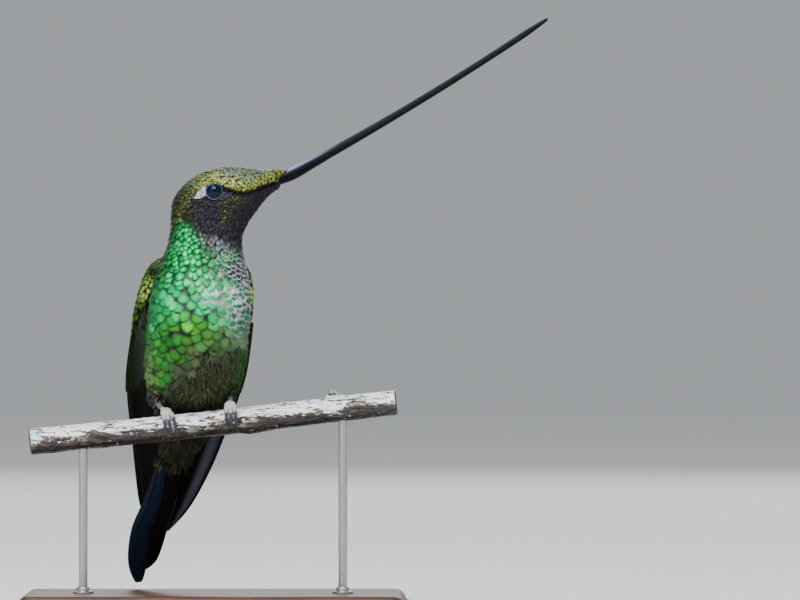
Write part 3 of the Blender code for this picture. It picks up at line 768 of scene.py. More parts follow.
def vane_faces(count, columns, rows, both):
    """Faces of count closed vanes: a grid above and, below, the same grid or two strips that meet along the shaft."""
    grid = rows * columns
    tip = grid - columns
    left = np.arange(rows - 1) * columns
    right = left + columns - 1
    j = np.arange(columns - 1)
    i = left[:, None] + j
    above = corners(i, i + 1, i + columns + 1, i + columns)
    if both:
        per = 2 * grid
        shapes = [np.concatenate([above, above[:, ::-1] + grid,
                                  corners(left + grid, left, left + columns, left + columns + grid),
                                  corners(right, right + grid, right + columns + grid, right + columns),
                                  corners(j + grid, j + 1 + grid, j + 1, j),
                                  corners(tip + j + 1 + grid, tip + j + grid, tip + j, tip + j + 1)])]
    else:
        per = grid + rows
        under = grid + np.arange(rows - 1)
        shapes = [np.concatenate([above, corners(under, left, left + columns, under + 1),
                                  corners(right, under, under + 1, right + columns)]),
                  np.concatenate([corners(grid, j + 1, j), corners(per - 1, tip + j, tip + j + 1)])]
    shift = (np.arange(count) * per)[:, None, None]
    return [(f[None] + shift).reshape(-1, f.shape[1]) for f in shapes]


def each(values):
    """One number for each vane, or one for all, set against the rows and columns of the vanes."""
    return np.reshape(values, (-1, 1, 1))


def vane_mesh(name, above, normals, thickness, tint, gloss, lengths, widths, roots_uv, material,
              inner_tint=None):
    """Joins vanes into one piece. above is (count, rows, columns, 3). With inner_tint both faces are full grids."""
    count, rows, columns = above.shape[:3]
    both = inner_tint is not None
    shaft = slice(columns // 2, columns // 2 + 1)
    if both:
        under = above - normals * thickness
    else:
        edges = (above[:, :, :1] + above[:, :, -1:]) / 2
        keel = np.minimum(dot(above[:, :, shaft] - edges, normals[:, :, shaft]), 0.0)
        under = edges + normals[:, :, shaft] * (keel - thickness)[..., None]
        inner_tint = tint[:, :, shaft] * 0.5

    def pair(first, second):
        return np.concatenate([a.reshape(count, -1, a.shape[-1]) for a in (first, second)], 1).reshape(
            -1, first.shape[-1])

    def below(values):
        return values if both else values[:, :, shaft]

    obj = new_mesh(name, pair(above, under), vane_faces(count, columns, rows, both))
    u = np.linspace(-0.5, 0.5, columns)
    v = np.linspace(0.0, 1.0, rows)[:, None]
    vane = np.zeros((count, rows, columns, 3))
    vane[..., 0] = u * each(widths)
    vane[..., 1] = v * each(lengths)
    vane[..., 2] = each(rng.random(count))
    gloss = gloss[..., None]
    give(obj, tint=np.clip(pair(tint, inner_tint), 0, 1), vane=pair(vane, below(vane)),
         gloss=np.clip(pair(gloss, below(gloss) * (1.0 if both else 0.3)), 0, 1)[:, 0])
    # Each vane's patch on the unwrap is a small square at its root's place.
    patch = np.zeros((count, rows, columns, 2))
    patch[..., 0] = each(roots_uv[:, 0]) + u * 0.003
    patch[..., 1] = each(roots_uv[:, 1]) + (v - 0.5) * 0.003
    order = numbers(obj.data.loops, "vertex_index", 1, np.int32)[:, 0]
    layer = obj.data.uv_layers.new(name="OFBake")
    layer.data.foreach_set("uv", np.clip(pair(patch, below(patch)), 0, 1)[order].astype(np.float32).ravel())
    return finish_piece(obj, material)


def drawn_out(places, stretch):
    """Places with the heights below the neck stretched, so that feathers lie closer one behind another."""
    longer = places.copy()
    longer[:, 2] += stretch * np.minimum(places[:, 2] - 106.0, 0.0)
    return longer


def neighbours(places):
    """A tree that finds the places near one of them."""
    tree = KDTree(len(places))
    for i, place in enumerate(places.tolist()):
        tree.insert(place, i)
    tree.balance()
    return tree


def scatter(keep, spacing, stretch=0.0):
    """Evenly spread places on the skin where keep is true, as far apart as spacing says. Returns both."""
    faces = skin_triangles[keep[skin_triangles].all(1)]
    a, b, c = (skin_points[faces[:, i]] for i in range(3))
    near = np.broadcast_to(spacing, len(skin_points))[faces].mean(1)
    weight = np.linalg.norm(np.cross(b - a, c - a), axis=1) / 2 / near ** 2
    total = int(weight.sum() * 0.85 * CANDIDATES * (1 + stretch))
    chosen = rng.choice(len(faces), total, p=weight / weight.sum())
    s, t = rng.random((2, total))[..., None]
    s, t = np.where(s + t > 1, 1 - s, s), np.where(s + t > 1, 1 - t, t)
    tried = a[chosen] + s * (b - a)[chosen] + t * (c - a)[chosen]
    reach = near[chosen]
    longer = drawn_out(tried, stretch)
    tree = neighbours(longer)
    free = np.ones(total, bool)
    kept = []
    for i in range(total):
        if free[i]:
            kept.append(i)
            free[[found[1] for found in tree.find_range(longer[i], reach[i])]] = False
    return tried[kept], reach[kept]


def even_out(places, spacing, surface, rounds=4, stretch=0.0):
    """Pushes places apart a little, so that they settle in rows like real feathers."""
    for _ in range(rounds):
        longer = drawn_out(places, stretch)
        tree = neighbours(longer)
        moves = np.zeros_like(places)
        for i, place in enumerate(longer.tolist()):
            for _, j, away in tree.find_n(place, 7):
                wanted = 1.12 * (spacing[i] + spacing[j]) / 2
                if j != i and away < wanted:
                    moves[i] += (longer[i] - longer[j]) / max(away, 0.01) * (wanted - away) * 0.35
        places = surface.nearest(places + moves)[0]
    return places


def lay(name, surface, roots, flow, roots_uv, length, width, depth, colours, material, slot, ragged=0.04, cup=0.18,
        widest=0.62, root_width=0.35, wander=6.0, thickness=0.05, tip_lift=0.0, columns=COLUMNS, rows=ROWS,
        uneven=0.20, hue=0.10, reveal_at=0.40, dome=0.5):
    """Lays a vane at each root. colours is tip, base, fringe colour, fringe, gloss, and any more is left unread."""
    count = len(roots)
    root, normal = surface.nearest(roots)
    flow = unit(flow - normal * dot(flow, normal)[:, None])
    side = np.cross(flow, normal)
    turn = np.radians(rng.normal(0, wander, count))[:, None]
    ahead = flow * np.cos(turn) + side * np.sin(turn)
    side = np.cross(ahead, normal)
    length = length * rng.uniform(0.88, 1.12, count)
    width = width * rng.uniform(0.9, 1.1, count)
    u = np.linspace(-1, 1, columns)
    v = (1 - (1 - np.linspace(0, 1, rows)) ** 1.8)[:, None]
    half = vane_outline(v, widest, root_width) * 0.5
    along = v + ragged * rng.normal(0, 1, (count, 1, columns)) * v ** 4
    across = u * half * each(width)
    place, out = surface.nearest(root[:, None, None] + ahead[:, None, None] * (along * each(length))[..., None] +
                                 side[:, None, None] * across[..., None])
    height = each(depth) * (0.06 + 0.94 * v ** 1.2 + each(rng.uniform(-0.10, 0.10, count)) * v)
    height = height - cup * u ** 2 * half * each(width)
    height = height + each(tip_lift * rng.uniform(0.3, 1.0, count)) * v ** 3
    above = place + out * np.maximum(height, 0.02)[..., None]
    tip, base, fringe_colour = (np.reshape(colour, (-1, 3)) for colour in colours[:3])
    fringe, gloss = (each(value) for value in colours[3:5])
    shade = np.exp(rng.normal(-0.02, uneven, (count, 1))) * np.exp(rng.normal(0, hue, (count, 3)) * (1.0, 0.25, 0.8))
    tip = tip * np.clip(shade, 0.4, 1.8)
    start = each(reveal_at + rng.normal(0, 0.03, count))
    reveal = step(-0.07, 0.07, v - start - 0.10 * u ** 2)
    fibres = 1 + 0.35 * rng.normal(0, 1, (count, 1, columns)) * (1 - reveal)
    tint = mix(base[:, None, None] * np.clip(fibres, 0.3, 1.3)[..., None], tip[:, None, None], reveal)
    radial = np.sqrt(u ** 2 * 0.85 + np.clip((v - widest) / (1 - widest), 0, 1) ** 2)
    # Painted shading: each disc is lighter in its middle and darker towards its rim, as a domed feather catches the
    # light.
    tint = tint * (1 + reveal * dome * (0.4 - radial ** 2))[..., None]
    thin = each(0.14 * (fringe_colour.mean(-1) > 0.25))
    rim = step(0.0, 1.0, (radial - 0.62 - thin) / (0.38 - thin)) * fringe * reveal
    tint = mix(tint, fringe_colour[:, None, None], rim)
    vane_mesh(name, above, out, thickness, tint, gloss * reveal * (1 - 0.6 * rim), length, width, roots_uv, material)


def unwrap(place, angle):
    """Where a place on the body lies on its unwrap: round it across, along it up."""
    return np.column_stack([angle / 360 * 0.98 + 0.5, np.clip(place / 112, 0.01, 0.99)])


def body_spacing(points, place, angle):
    """Distance between neighbouring feathers."""
    breast = np.interp(place, (0, 12, 22, 28, 34, 40, 46, 62, 90, 104),
                       (0.46, 0.46, 0.50, 0.74, 1.26, 1.75, 2.35, 2.45, 2.0, 1.6))
    back = np.interp(place, (0, 12, 22, 30, 40, 55, 90, 104), (0.58, 0.74, 0.90, 1.10, 1.5, 2.0, 2.2, 2.6))
    spread = mix(breast[:, None], back[:, None], step(70, 120, np.abs(angle)))[:, 0]
    x, z = points[:, 0], points[:, 2]
    spread = spread * (1 - 0.22 * blob(x, z, (7.5, 96.0), (5.5, 15.0))) * np.where(z > 112, 0.88, 1.0)
    near_eye = np.hypot(x - eye_centres["right"][0], z - eye_centres["right"][2])
    return np.minimum(spread, np.where(z > 108, np.interp(near_eye, (2.6, 5.5, 9.0), (0.45, 0.70, 2.0)), 9.0))


skin_spacing = body_spacing(skin_points, skin_place, skin_angle)


def clear_of_eyes(points):
    """True where a place isn't under an eye or its lids."""
    clear = np.ones(len(points), bool)
    for side, centre in eye_centres.items():
        offset = points - centre
        out = -offset[:, 1] if side == "right" else offset[:, 1]
        clear &= ~((np.hypot(offset[:, 0], offset[:, 2]) < EYE_OPENING + 0.32) & (out > 0))
    return clear


hidden = distance_to(tree_of(*solid("wing_right", "wing_left", "primaries_right", "primaries_left")), skin_points)
body_keep = (skin_region == 0) & clear_of_eyes(skin_points) & (hidden > 0.5) & (past_feathers(skin_points) < -0.7)
roots, reach = scatter(body_keep, skin_spacing, 0.3)
roots = even_out(roots, reach, body_surface, 3, 0.3)
place, angle, ahead = round_body(roots)
order = np.argsort(place)
order = order[clear_of_eyes(roots)[order]]
roots, reach, place, angle, ahead = (a[order] for a in (roots, reach, place, angle, ahead))
depth = coat_depth(place, np.zeros(len(place)))
long = np.interp(place, (0, 3, 20, 34, 46, 60, 76, 92, 104), (4.4, 2.6, 2.5, 2.3, 2.15, 2.2, 2.6, 2.9, 3.0))
wide = np.interp(place, (0, 20, 34, 46, 60, 76, 104), (1.62, 1.62, 1.56, 1.62, 1.65, 1.65, 1.5))
colours = markings(roots, place, angle)
face, loose, bare = (colours[5] > 0.2) & (colours[5] <= 0.5), colours[5] > 0.5, colours[6]
uv = unwrap(place, angle)


def lay_part(name, part, slot, material, stretch=1.0, slim=1.0, **looks):
    """Lays the body feathers that part picks out, longer and narrower by the factors."""
    lay(name, body_surface, roots[part], ahead[part], uv[part], (reach * long * stretch)[part],
        (reach * wide * slim)[part], depth[part], [c[part] for c in colours], material, slot, **looks)


lay_part("crown_feathers", (place < 27.0) & ~face & ~loose, "head_plumage", plumage, columns=5, rows=7, ragged=0.05,
         uneven=0.24, hue=0.08, reveal_at=0.50, wander=10.0, dome=0.4)
lay_part("face_feathers", face, "head_plumage", down, 1.35, 0.72, columns=5, rows=7, ragged=0.10, uneven=0.20, hue=0.05,
         wander=12.0, tip_lift=0.10)
lay_part("neck_feathers", (place >= 27.0) & (place < 41.0) & ~face & ~loose, "neck_plumage", plumage, ragged=0.035,
         wander=9.0, cup=0.20, uneven=0.26, hue=0.14, reveal_at=0.42)
part = (place >= 41.0) & ~face & ~loose
lay_part("trunk_feathers", part, "trunk_plumage", plumage, rng.uniform(0.88, 1.14, len(place)),
         rng.uniform(0.85, 1.15, len(place)), ragged=0.035, wander=10.0, cup=0.20, uneven=0.24, hue=0.14,
         widest=0.66, rows=10, reveal_at=0.42 + 0.20 * bare[part])


def sown(keep, spacing):
    """Small loose feathers' roots, headings and places on the unwrap."""
    roots = scatter(keep, spacing)[0]
    place, angle, ahead = round_body(roots)
    return roots, ahead, unwrap(place, angle)


# Under the discs the belly and the vent are all loose strands, with pale wisps over them.
roots, ahead, uv = sown(body_keep & (skin_loose > 0.2) & (skin_place > 41), 0.62)
tip, base = markings(roots, *round_body(roots)[:2])[:2]
undertail = step(58.0, 50.0, roots[:, 2])
streaks = drift(roots * (1.0, 1.0, 0.35), 1.4, 90.0)[:, None]
tip = mix(tip, OLIVE * 0.9, 0.5 * undertail) * np.exp(0.5 * streaks)
lay("belly_down", body_surface, roots, ahead, uv, 3.0 + 1.6 * undertail, 0.52 + 0.2 * undertail, 0.95,
    [tip, base, tip, 0.0, 0.0], down, "trunk_plumage", ragged=0.05, wander=17.0, cup=0.0, widest=0.5, root_width=0.6,
    tip_lift=0.45, columns=3, rows=8, thickness=0.04, uneven=0.28, hue=0.08, reveal_at=0.15)
lay("belly_wisps", body_surface, *sown(body_keep & (skin_belly > 0.4) & (skin_points[:, 2] > 60), 1.7), 4.0, 0.11, 1.2,
    [ASH * 0.30, SLATE * 0.4, ASH * 0.3, 0.0, 0.0], down, "trunk_plumage", ragged=0.05, wander=38.0, cup=0.0,
    root_width=0.8, tip_lift=0.35, columns=3, rows=12, thickness=0.03, uneven=0.4)
# The white spot behind each eye: short dense down.
eye_reach = np.hypot(skin_points[:, 0] - eye_centres["right"][0], skin_points[:, 2] - eye_centres["right"][2])
spot = (skin_region == 0) & (eye_reach > EYE_OPENING + 0.1) & (skin_points[:, 2] > 112) & \
    (within(skin_points[:, 0], skin_points[:, 2], EYE_SPOT, 0.5) > 0.2)
lay("eye_spot_feathers", body_surface, *sown(spot, 0.17), 0.80, 0.22, 0.50, [WHITE, WHITE * 0.8, WHITE, 0.0, 0.0],
    down, "head_plumage", ragged=0.08, wander=14.0, columns=3, rows=5, thickness=0.03, uneven=0.10, hue=0.02)
# The thighs' down has a pale tuft over each foot.
roots, ahead, uv = sown(skin_region == 3, 0.55)
pale = step(63.0, 59.0, roots[:, 2]) * step(-4.0, -8.0, roots[:, 0]) * step(-0.3, 0.3, drift(roots, 0.6, 9.0))
lay("thigh_feathers", body_surface, roots, ahead, uv, 2.0, 0.38, 0.55,
    [mix(SLATE * 0.7, WHITE * 0.55, pale), SLATE * 0.4, ASH * 0.5, 0.2, 0.0], down, "thigh_plumage", ragged=0.10,
    wander=22.0, tip_lift=0.6, columns=3, rows=7, thickness=0.03, uneven=0.3)

# Wings: coverts on the arm, then flight feathers
COVERT_GREEN = linear("#2e4717")
COVERT_DARK = linear("#101a0a")
for side, number in (("right", 1), ("left", 2)):
    blade = wing_blades[side]
    t = blade.near(skin_points)[0]
    roots, reach = scatter((skin_region == number) & (t < 0.29), np.interp(t, (0, 0.08, 0.2), (1.0, 1.2, 1.6)))
    roots = even_out(roots, reach, wing_surface)
    t, behind, _, ahead, _ = blade.near(roots)
    order = np.argsort(t)
    roots, reach, t, behind, ahead = (a[order] for a in (roots, reach, t, behind, ahead))
    patch = 0.85 * blob(roots[:, 2], behind, (92.8, 0.05), (3.2, 0.15))
    tip = mix(mix(COVERT_GREEN, COVERT_DARK, step(0.14, 0.32, t)), LIME, patch)
    tip = dabbed(tip, roots[:, 2], behind, (GRASS * 0.5, 0.8, (83.5, 0.20), (3.5, 0.14)))
    lay("wing_coverts_" + side, wing_surface, roots, ahead, np.clip(np.column_stack([behind, t * 2]), 0.02, 0.98),
        reach * np.interp(t, (0, 0.25), (2.3, 2.9)), reach * 1.3, 0.5, [tip, BLACK, BLACK, 0.5, 0.12 + 0.25 * patch],
        quills, "wing_coverts", wander=4.0, cup=0.12, hue=0.08)


def blade_feathers(name, blade, rows_of, colours_of, thickness, spill=0.0, columns=9, rows=30, widest=0.86,
                   arch=0.10):
    """Long vanes along a blade. Each row: where it starts and ends along the blade, where its leading rim starts and
    ends as parts of the chord, its width, its layer from -1 (inside) to 1, and where its shaft lies from -1 to 1.
    colours_of gives the colours of the outer and the inner face and the gloss. Returns the piece and the shafts."""
    found, shafts = [], []
    u = np.linspace(-1, 1, columns)
    v = (1 - (1 - np.linspace(0, 1, rows)) ** 1.5)[:, None]
    for n, (start, end, rim_start, rim_end, width, layer, shaft_at) in enumerate(rows_of):
        t = start + (end - start) * v
        lead, across, chord, normal, thick = blade.read(t)
        half = vane_outline(v, widest, 0.55) * width / 2
        room = chord + spill * step(0.25, 0.45, t) * step(1.0, 0.8, t)
        middle = chord * (rim_start + (rim_end - rim_start) * v ** 1.5) + half
        middle = np.minimum(middle, np.maximum(room - half * 0.98, chord * 0.5))
        x = np.clip(middle + half * u, 0.02, np.maximum(room - 0.02, 0.03))
        bow = arch * half * (1 - u ** 2)
        lens = np.sqrt(np.clip(1 - (2 * x / room - 1) ** 2, 0.03, 1))
        lift = layer * np.interp(t, (0.2, 0.42), (0.5, 1.0)) * (thick / 2 - 0.08) * lens + bow
        points = lead + across * x[..., None] + normal * lift[..., None]
        outer, inner, gloss = colours_of(n, t, x / chord, u * np.ones((rows, 1)))
        heading = np.gradient(points[:, columns // 2], axis=0)
        turned = slice(None, None, -1 if dot(np.cross(heading, normal[:, 0]), across[:, 0]).mean() < 0 else 1)
        found.append((points[:, turned], np.broadcast_to(normal, points.shape), outer[:, turned], inner[:, turned],
                      np.full((rows, columns), gloss), width,
                      np.linalg.norm(np.diff(points[:, columns // 2], axis=0), axis=1).sum()))
        column = (shaft_at + 1) / 2 * (columns - 1)
        low = int(column)
        path = points[:, low] * (1 - column + low) + points[:, min(low + 1, columns - 1)] * (column - low)
        shafts.append(path[:-2])
    above, normals, outers, inners, gloss, widths, lengths = (np.array(part) for part in zip(*found))
    uv = np.column_stack([np.linspace(0.05, 0.95, len(above)), np.full(len(above), 0.5)])
    return vane_mesh(name, above, normals, thickness, outers, gloss, lengths, widths, uv, quills, inners), shafts


def shaft_piece(name, shafts, radius, colours):
    """The quills of long feathers: thin tapered rods half sunk in the vanes."""
    points, quads, fans, tints, count = [], [], [], [], 0
    for path, colour in zip(shafts, colours):
        rod, around, ends = capped(tube_rings(path, np.linspace(radius, radius * 0.25, len(path)), 5))
        points.append(rod)
        quads.append(around + count)
        fans.append(ends + count)
        tints.append(np.tile(colour, (len(rod), 1)))
        count += len(rod)
    obj = new_mesh(name, np.concatenate(points), [np.concatenate(quads), np.concatenate(fans)])
    give(obj, tint=np.concatenate(tints), gloss=np.zeros(count), vane=np.zeros((count, 3)))
    finish_piece(obj, quills)


FLIGHT_DARK, FLIGHT_BROWN = linear("#10140d"), linear("#151410")
LILAC_SHEEN, SHAFT = linear("#4c4d5c"), linear("#5a554e")
TAIL_BLUE, TAIL_BROWN, TAIL_GREEN = linear("#182333"), linear("#13100f"), linear("#1f2a1a")


def right_wing_colours(n, t, part, u):
    """Blackish on both faces, a little paler towards the hidden edge of each vane."""
    dark = mix(FLIGHT_DARK, FLIGHT_BROWN, 0.5 + 0.5 * u)
    return dark, dark * 0.45, 0.02


def left_wing_colours(n, t, part, u):
    """As the right wing, but its lit inner face has a band of painted lilac-grey sheen inside the black rim."""
    outer, inner, gloss = right_wing_colours(n, t, part, u)
    sheen_band = step(0.09, 0.14, part) * (1 - step(0.26, 0.42, part)) * step(0.40, 0.55, t)
    return outer, mix(inner, LILAC_SHEEN, sheen_band), gloss


def tail_colours(n, t, part, u):
    """The bird's right half is blue-black with a blue sheen, the left brownish black; bronze-green behind."""
    face = (TAIL_BLUE if n % 2 == 0 else TAIL_BROWN) * (1 - 0.04 * n)
    return face * (1 - 0.25 * u[..., None] ** 2), TAIL_GREEN * np.ones_like(u)[..., None], 0.3


def covert_colours(n, t, part, u):
    green = mix(COVERT_DARK, COVERT_GREEN, 0.5 - 0.5 * u)
    return green, green * 0.7, 0.0


PRIMARY_TIPS = (1.0, 0.99, 0.975, 0.955, 0.93, 0.90, 0.87, 0.83, 0.79, 0.74)
for side, colours_of in (("right", right_wing_colours), ("left", left_wing_colours)):
    rows_of = [(0.20 + 0.006 * k, tip_at, 0.004 + 0.065 * k, 0.14 + 0.06 * k if k else 0.0, 5.6 if k else 4.8,
                -0.9 + 0.17 * k, -0.55) for k, tip_at in enumerate(PRIMARY_TIPS)]
    rows_of += [(0.18, 0.70 - 0.035 * k, 0.50 + 0.05 * k, 0.62 + 0.03 * k, 5.8, 0.75 + 0.05 * k, -0.3)
                for k in range(6)]
    vanes, shafts = blade_feathers("flight_feathers_" + side, wing_blades[side], rows_of, colours_of,
                                   0.07, spill=1.6)
    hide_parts("primaries_" + side)
    shaft_piece("quills_" + side, shafts, 0.15, [SHAFT * (1 - 0.05 * n) for n in range(16)])
    # Greater coverts lap over the roots of the flight feathers on both faces.
    rows_of = [(0.17 + 0.004 * k, 0.45 - 0.012 * k + 0.012 * (k % 2), 0.095 * k, 0.10 * k, 2.9, layer, -0.1)
               for layer in (-1.1, 1.1) for k in range(10)]
    blade_feathers("greater_coverts_" + side, wing_blades[side], rows_of, covert_colours, 0.06,
                   columns=7, rows=18, widest=0.8, arch=0.03)

# Tail: five feathers a side, closed; the outer pair is the longest and lies nearest the breast side.
rows_of = []
for k, (longer, shorter) in enumerate(((1.012, 0.90), (0.955, 0.885), (0.92, 0.875), (0.89, 0.865), (0.87, 0.86))):
    rim = 0.05 * k
    rows_of.append((0.0, longer, rim, rim, 6.2, 0.95 - 0.38 * k, -0.35))
    rows_of.append((0.0, shorter, 0.42 - rim * 0.5, 0.50, 6.2, 0.95 - 0.38 * k - 0.19, 0.35))
vanes, shafts = blade_feathers("tail_feathers", tail_blade, rows_of, tail_colours, 0.07, columns=11,
                               rows=34, widest=0.66)
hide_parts("tail")
shaft_piece("tail_quills", shafts, 0.2, [linear("#0c0d10")] * 10)

# Eyes
# Wet cornea over a nearly black navy eye: a sharp highlight, and reflections that turn bluish over the dark.
eye_material, shader = new_material("cornea", Roughness=0.03, IOR=1.5, Specular_IOR_Level=0.42,
                                    Specular_Tint=(0.42, 0.62, 1.0, 1.0))
plug(shader, Base_Color=(node(eye_material, "Attribute", attribute_name="tint"), "Color"))
# Bare lid skin: pale blue-grey, dry and finely beaded.
lid_material, shader = new_material("eyelid skin", Roughness=0.6, Subsurface_Weight=0.1, Subsurface_Scale=0.0004)
place = node(lid_material, "TexCoord"), "Object"
cells = node(lid_material, "TexVoronoi", Vector=place, Scale=6000.0)
plug(shader, Base_Color=(node(lid_material, "Attribute", attribute_name="tint"), "Color"),
     Normal=node(lid_material, "Bump", Strength=0.5, Distance=0.05 * MM, Height=cells))

PUPIL, IRIS, EYE_RIM = linear("#010410"), linear("#02081f"), linear("#010206")
LID_PALE, LID_DARK = linear("#6d7b90"), linear("#1b1c22")
for side, centre in eye_centres.items():
    out = -Y if side == "right" else Y
    polar = np.linspace(0.02, math.pi - 0.02, 48)
    rings = []
    for p in polar:
        radius = EYE_RADIUS * (1 + 0.02 * math.exp(-(p / 0.55) ** 2)) - 0.05
        rings.append(centre + out * (radius * math.cos(p)) + radius * math.sin(p) * circle(56, X, Z))
    eye = loft("eyeball_" + side, rings, flip=side == "left")
    shade = np.degrees(np.repeat(polar, 56))
    tint = mix(mix(PUPIL, IRIS, step(30, 33, shade)), EYE_RIM, step(44, 50, shade))
    give(eye, tint=np.concatenate([tint, [PUPIL, PUPIL]]))
    finish_piece(eye, eye_material, ("eye_" + side,))
    # The lid: a low beaded ring that hugs the globe.
    plane = math.sqrt(EYE_RADIUS ** 2 - EYE_OPENING ** 2)
    points, tint = [], []
    for a in np.linspace(0, math.tau, 168, endpoint=False):
        bead = 0.5 + 0.5 * math.cos(a * 28)
        radial = X * math.cos(a) + Z * math.sin(a)
        droop = 1.0 + 0.02 * math.cos(2 * a)
        lit = (0.75 + 0.25 * bead) * (0.62 + 0.38 * math.cos(a - math.radians(235)))
        wide, tall = 0.13 + 0.015 * bead, 0.13 + 0.02 * bead
        for b in np.linspace(0, math.tau, 12, endpoint=False):
            points.append(centre + radial * (droop * EYE_OPENING + 0.10 + wide * math.cos(b))
                          + out * (plane - 0.02 + tall * math.sin(b)))
            tint.append(mix(LID_DARK, LID_PALE, max(0.0, math.sin(b)) * lit))
    faces = np.roll(loft_faces(169, 12)[:, ::-1], 1, 1) % len(points)
    lid = new_mesh("eyelid_" + side, points, [faces[:, ::-1] if side == "right" else faces])
    give(lid, tint=tint)
    finish_piece(lid, lid_material)

# Bill
# Polished horn: satin, growing along the bill in faint lines. The horn is near black; the top of its upper half is
# painted slate, paler towards the base, as a painted reflection of the sky.
horn, shader = new_material("bill horn", Roughness=0.34, Specular_IOR_Level=0.10)
vane = node(horn, "Attribute", attribute_name="vane")
lines = node(horn, "TexNoise", Vector=(vane, "Vector"), Scale=1.0, Detail=4.0)
plug(shader, Base_Color=tinted(horn, lines, 0.7, 0.65),
     Normal=node(horn, "Bump", Strength=0.35, Distance=0.03 * MM, Height=lines))

SEAM = 0.43  # height of the gape line over the bill's height
halves = [points[faces] for points, faces in (solid("bill_upper"), solid("bill_lower"))]
rows = []
for d in np.linspace(1.2, bill_length - 0.6, 26):
    found = np.concatenate([cut(half, bill_root + bill_way * d, bill_way) for half in halves]) - bill_root
    height, sides = dot(found, bill_up), dot(found, bill_side)
    rows.append([d, height.max(), height.min(), sides.max(), sides.min(), SEAM])
rows = np.array(rows)
# Past both ends of the cuts the bill goes on: back to the gape and on inside the head, and to its rounded tip.
behind = [[rows[0, 0] - back, rows[0, 1] + rise, rows[0, 2] + drop, rows[0, 3] * wider, rows[0, 4] * wider, seam]
          for back, wider, rise, drop, seam in (
              (7.5, 0.95, 0.2, 1.3, 0.56), (6.0, 1.25, 0.4, 0.80, 0.54), (4.5, 1.20, 0.38, 0.45, 0.52),
              (3.0, 1.10, 0.25, 0.18, 0.49), (1.5, 1.03, 0.12, 0.05, 0.45))]
last = rows[-1].copy()
last[0] = bill_length - 0.05
last[1:3] = last[1:3].sum() / 2 + 0.1
last[3:5] = last[3:5].sum() / 2
rows = np.vstack([behind, rows, last])
fractions = 1 - (1 - np.linspace(0, 1, 190)) ** 1.15
read = spline(rows, fractions * (len(rows) - 1))
HORN_RIDGE_SHEEN, HORN_BASE_SHEEN = linear("#1f3341"), linear("#8795b4")
HORN_EDGE, HORN_LOWER = linear("#0e1015"), linear("#030304")
for word, sign in (("upper", 1.0), ("lower", -1.0)):
    rings, tint, vane = [], [], []
    for d, high, low, most, least, seam in read:
        middle = low + (high - low) * seam
        tall = max(high - middle if sign > 0 else middle - low, 0.05)
        wide = max((most - least) / 2, 0.05)
        centre = bill_root + bill_way * d + bill_side * ((most + least) / 2)
        gap = 0.045 * min(1.0, tall)
        ridge_sheen = mix(HORN_BASE_SHEEN, HORN_RIDGE_SHEEN, step(0.0, 17.0, d))
        dark_tip = step(bill_length - 5.0, bill_length - 0.5, d)
        ring = []
        for a in np.linspace(0, math.pi, 21):
            across = wide * math.cos(a) * (1.02 if sign > 0 else 0.96)
            rise = tall * abs(math.sin(a)) ** 0.92
            if sign > 0:
                rise *= 1 + 0.05 * math.exp(-((a - math.pi / 2) / 0.25) ** 2)
            ring.append(centre + bill_side * across + bill_up * (middle + sign * (gap + rise)))
            # Painted reflection: the upward-facing top of the upper half is slate, and its sides are near black.
            colour = mix(HORN_EDGE, ridge_sheen, step(0.46, 0.80, math.sin(a))) if sign > 0 else HORN_LOWER
            tint.append(mix(colour, HORN_EDGE, 0.6 * dark_tip))
            vane.append((d * 0.12, a * 3.0, sign * 5.0))
        # The flat side runs back from the second rim to the first.
        centre = (ring[0] + ring[20]) / 2
        for share in (-0.5, 0.0, 0.5):
            ring.append(centre + (ring[0] - centre) * share)
            tint.append(HORN_LOWER)
            vane.append((d * 0.12, 12.0 - share, sign * 5.0))
        rings.append(ring)
    bill = loft("bill_" + word + "_horn", rings, 40.0, flip=sign > 0)
    give(bill, tint=np.concatenate([tint, [HORN_EDGE, HORN_EDGE]]), vane=np.concatenate([vane, [[0, 0, 0], [9, 0, 0]]]))
    finish_piece(bill, horn, ("bill_" + word,))

# Perch: a weathered cut branch, with a pale flaking crust on top and brown bark below. The crust's white is partly pale
# lichen and partly a painted sheen of sky light on wet bark; the bark is painted darker underneath as shade.
bark, shader = new_material("weathered bark", Specular_IOR_Level=0.5)
place = node(bark, "TexCoord"), "Object"
wide = node(bark, "Mapping", Vector=place, Scale=(0.35, 1.0, 1.0))
long = node(bark, "Mapping", Vector=place, Scale=(0.12, 1.0, 1.0))
flakes = node(bark, "TexNoise", Vector=wide, Scale=1500.0, Detail=6.0, Roughness=0.62)
streaks = node(bark, "TexNoise", Vector=long, Scale=1700.0, Detail=5.0)
weather = node(bark, "TexNoise", Vector=long, Scale=1300.0, Detail=6.0, Roughness=0.66)
# The crust's flaking edge, and how worn its face is. Its bluish white is partly pale lichen and partly a painted sheen
# of sky light.
edge = node(bark, "Math", operation="MULTIPLY_ADD", _0=flakes, _1=3.4, _2=-1.75)
edge = node(bark, "Math", operation="ADD", _0=(node(bark, "Attribute", attribute_name="crust"), "Fac"), _1=edge)
mask = node(bark, "MapRange", interpolation_type="SMOOTHSTEP", Value=edge, From_Min=0.42, From_Max=0.58)
worn = node(bark, "MapRange", interpolation_type="SMOOTHSTEP", Value=weather, From_Min=0.39, From_Max=0.50)
light = node(bark, "Math", operation="MULTIPLY_ADD", _0=streaks, _1=6.0, _2=-2.15)
light = node(bark, "Math", operation="MAXIMUM", _0=light, _1=0.08)
tint = node(bark, "Attribute", attribute_name="tint")
under = node(bark, "VectorMath", operation="SCALE", Vector=(tint, "Color"), Scale=light)
pale = node(bark, "Mix", data_type="RGBA", Factor=worn, _6=rgba("#2a2424"), _7=rgba("#fbfcff"))
colour = node(bark, "Mix", data_type="RGBA", Factor=mask, _6=under, _7=(pale, 2))
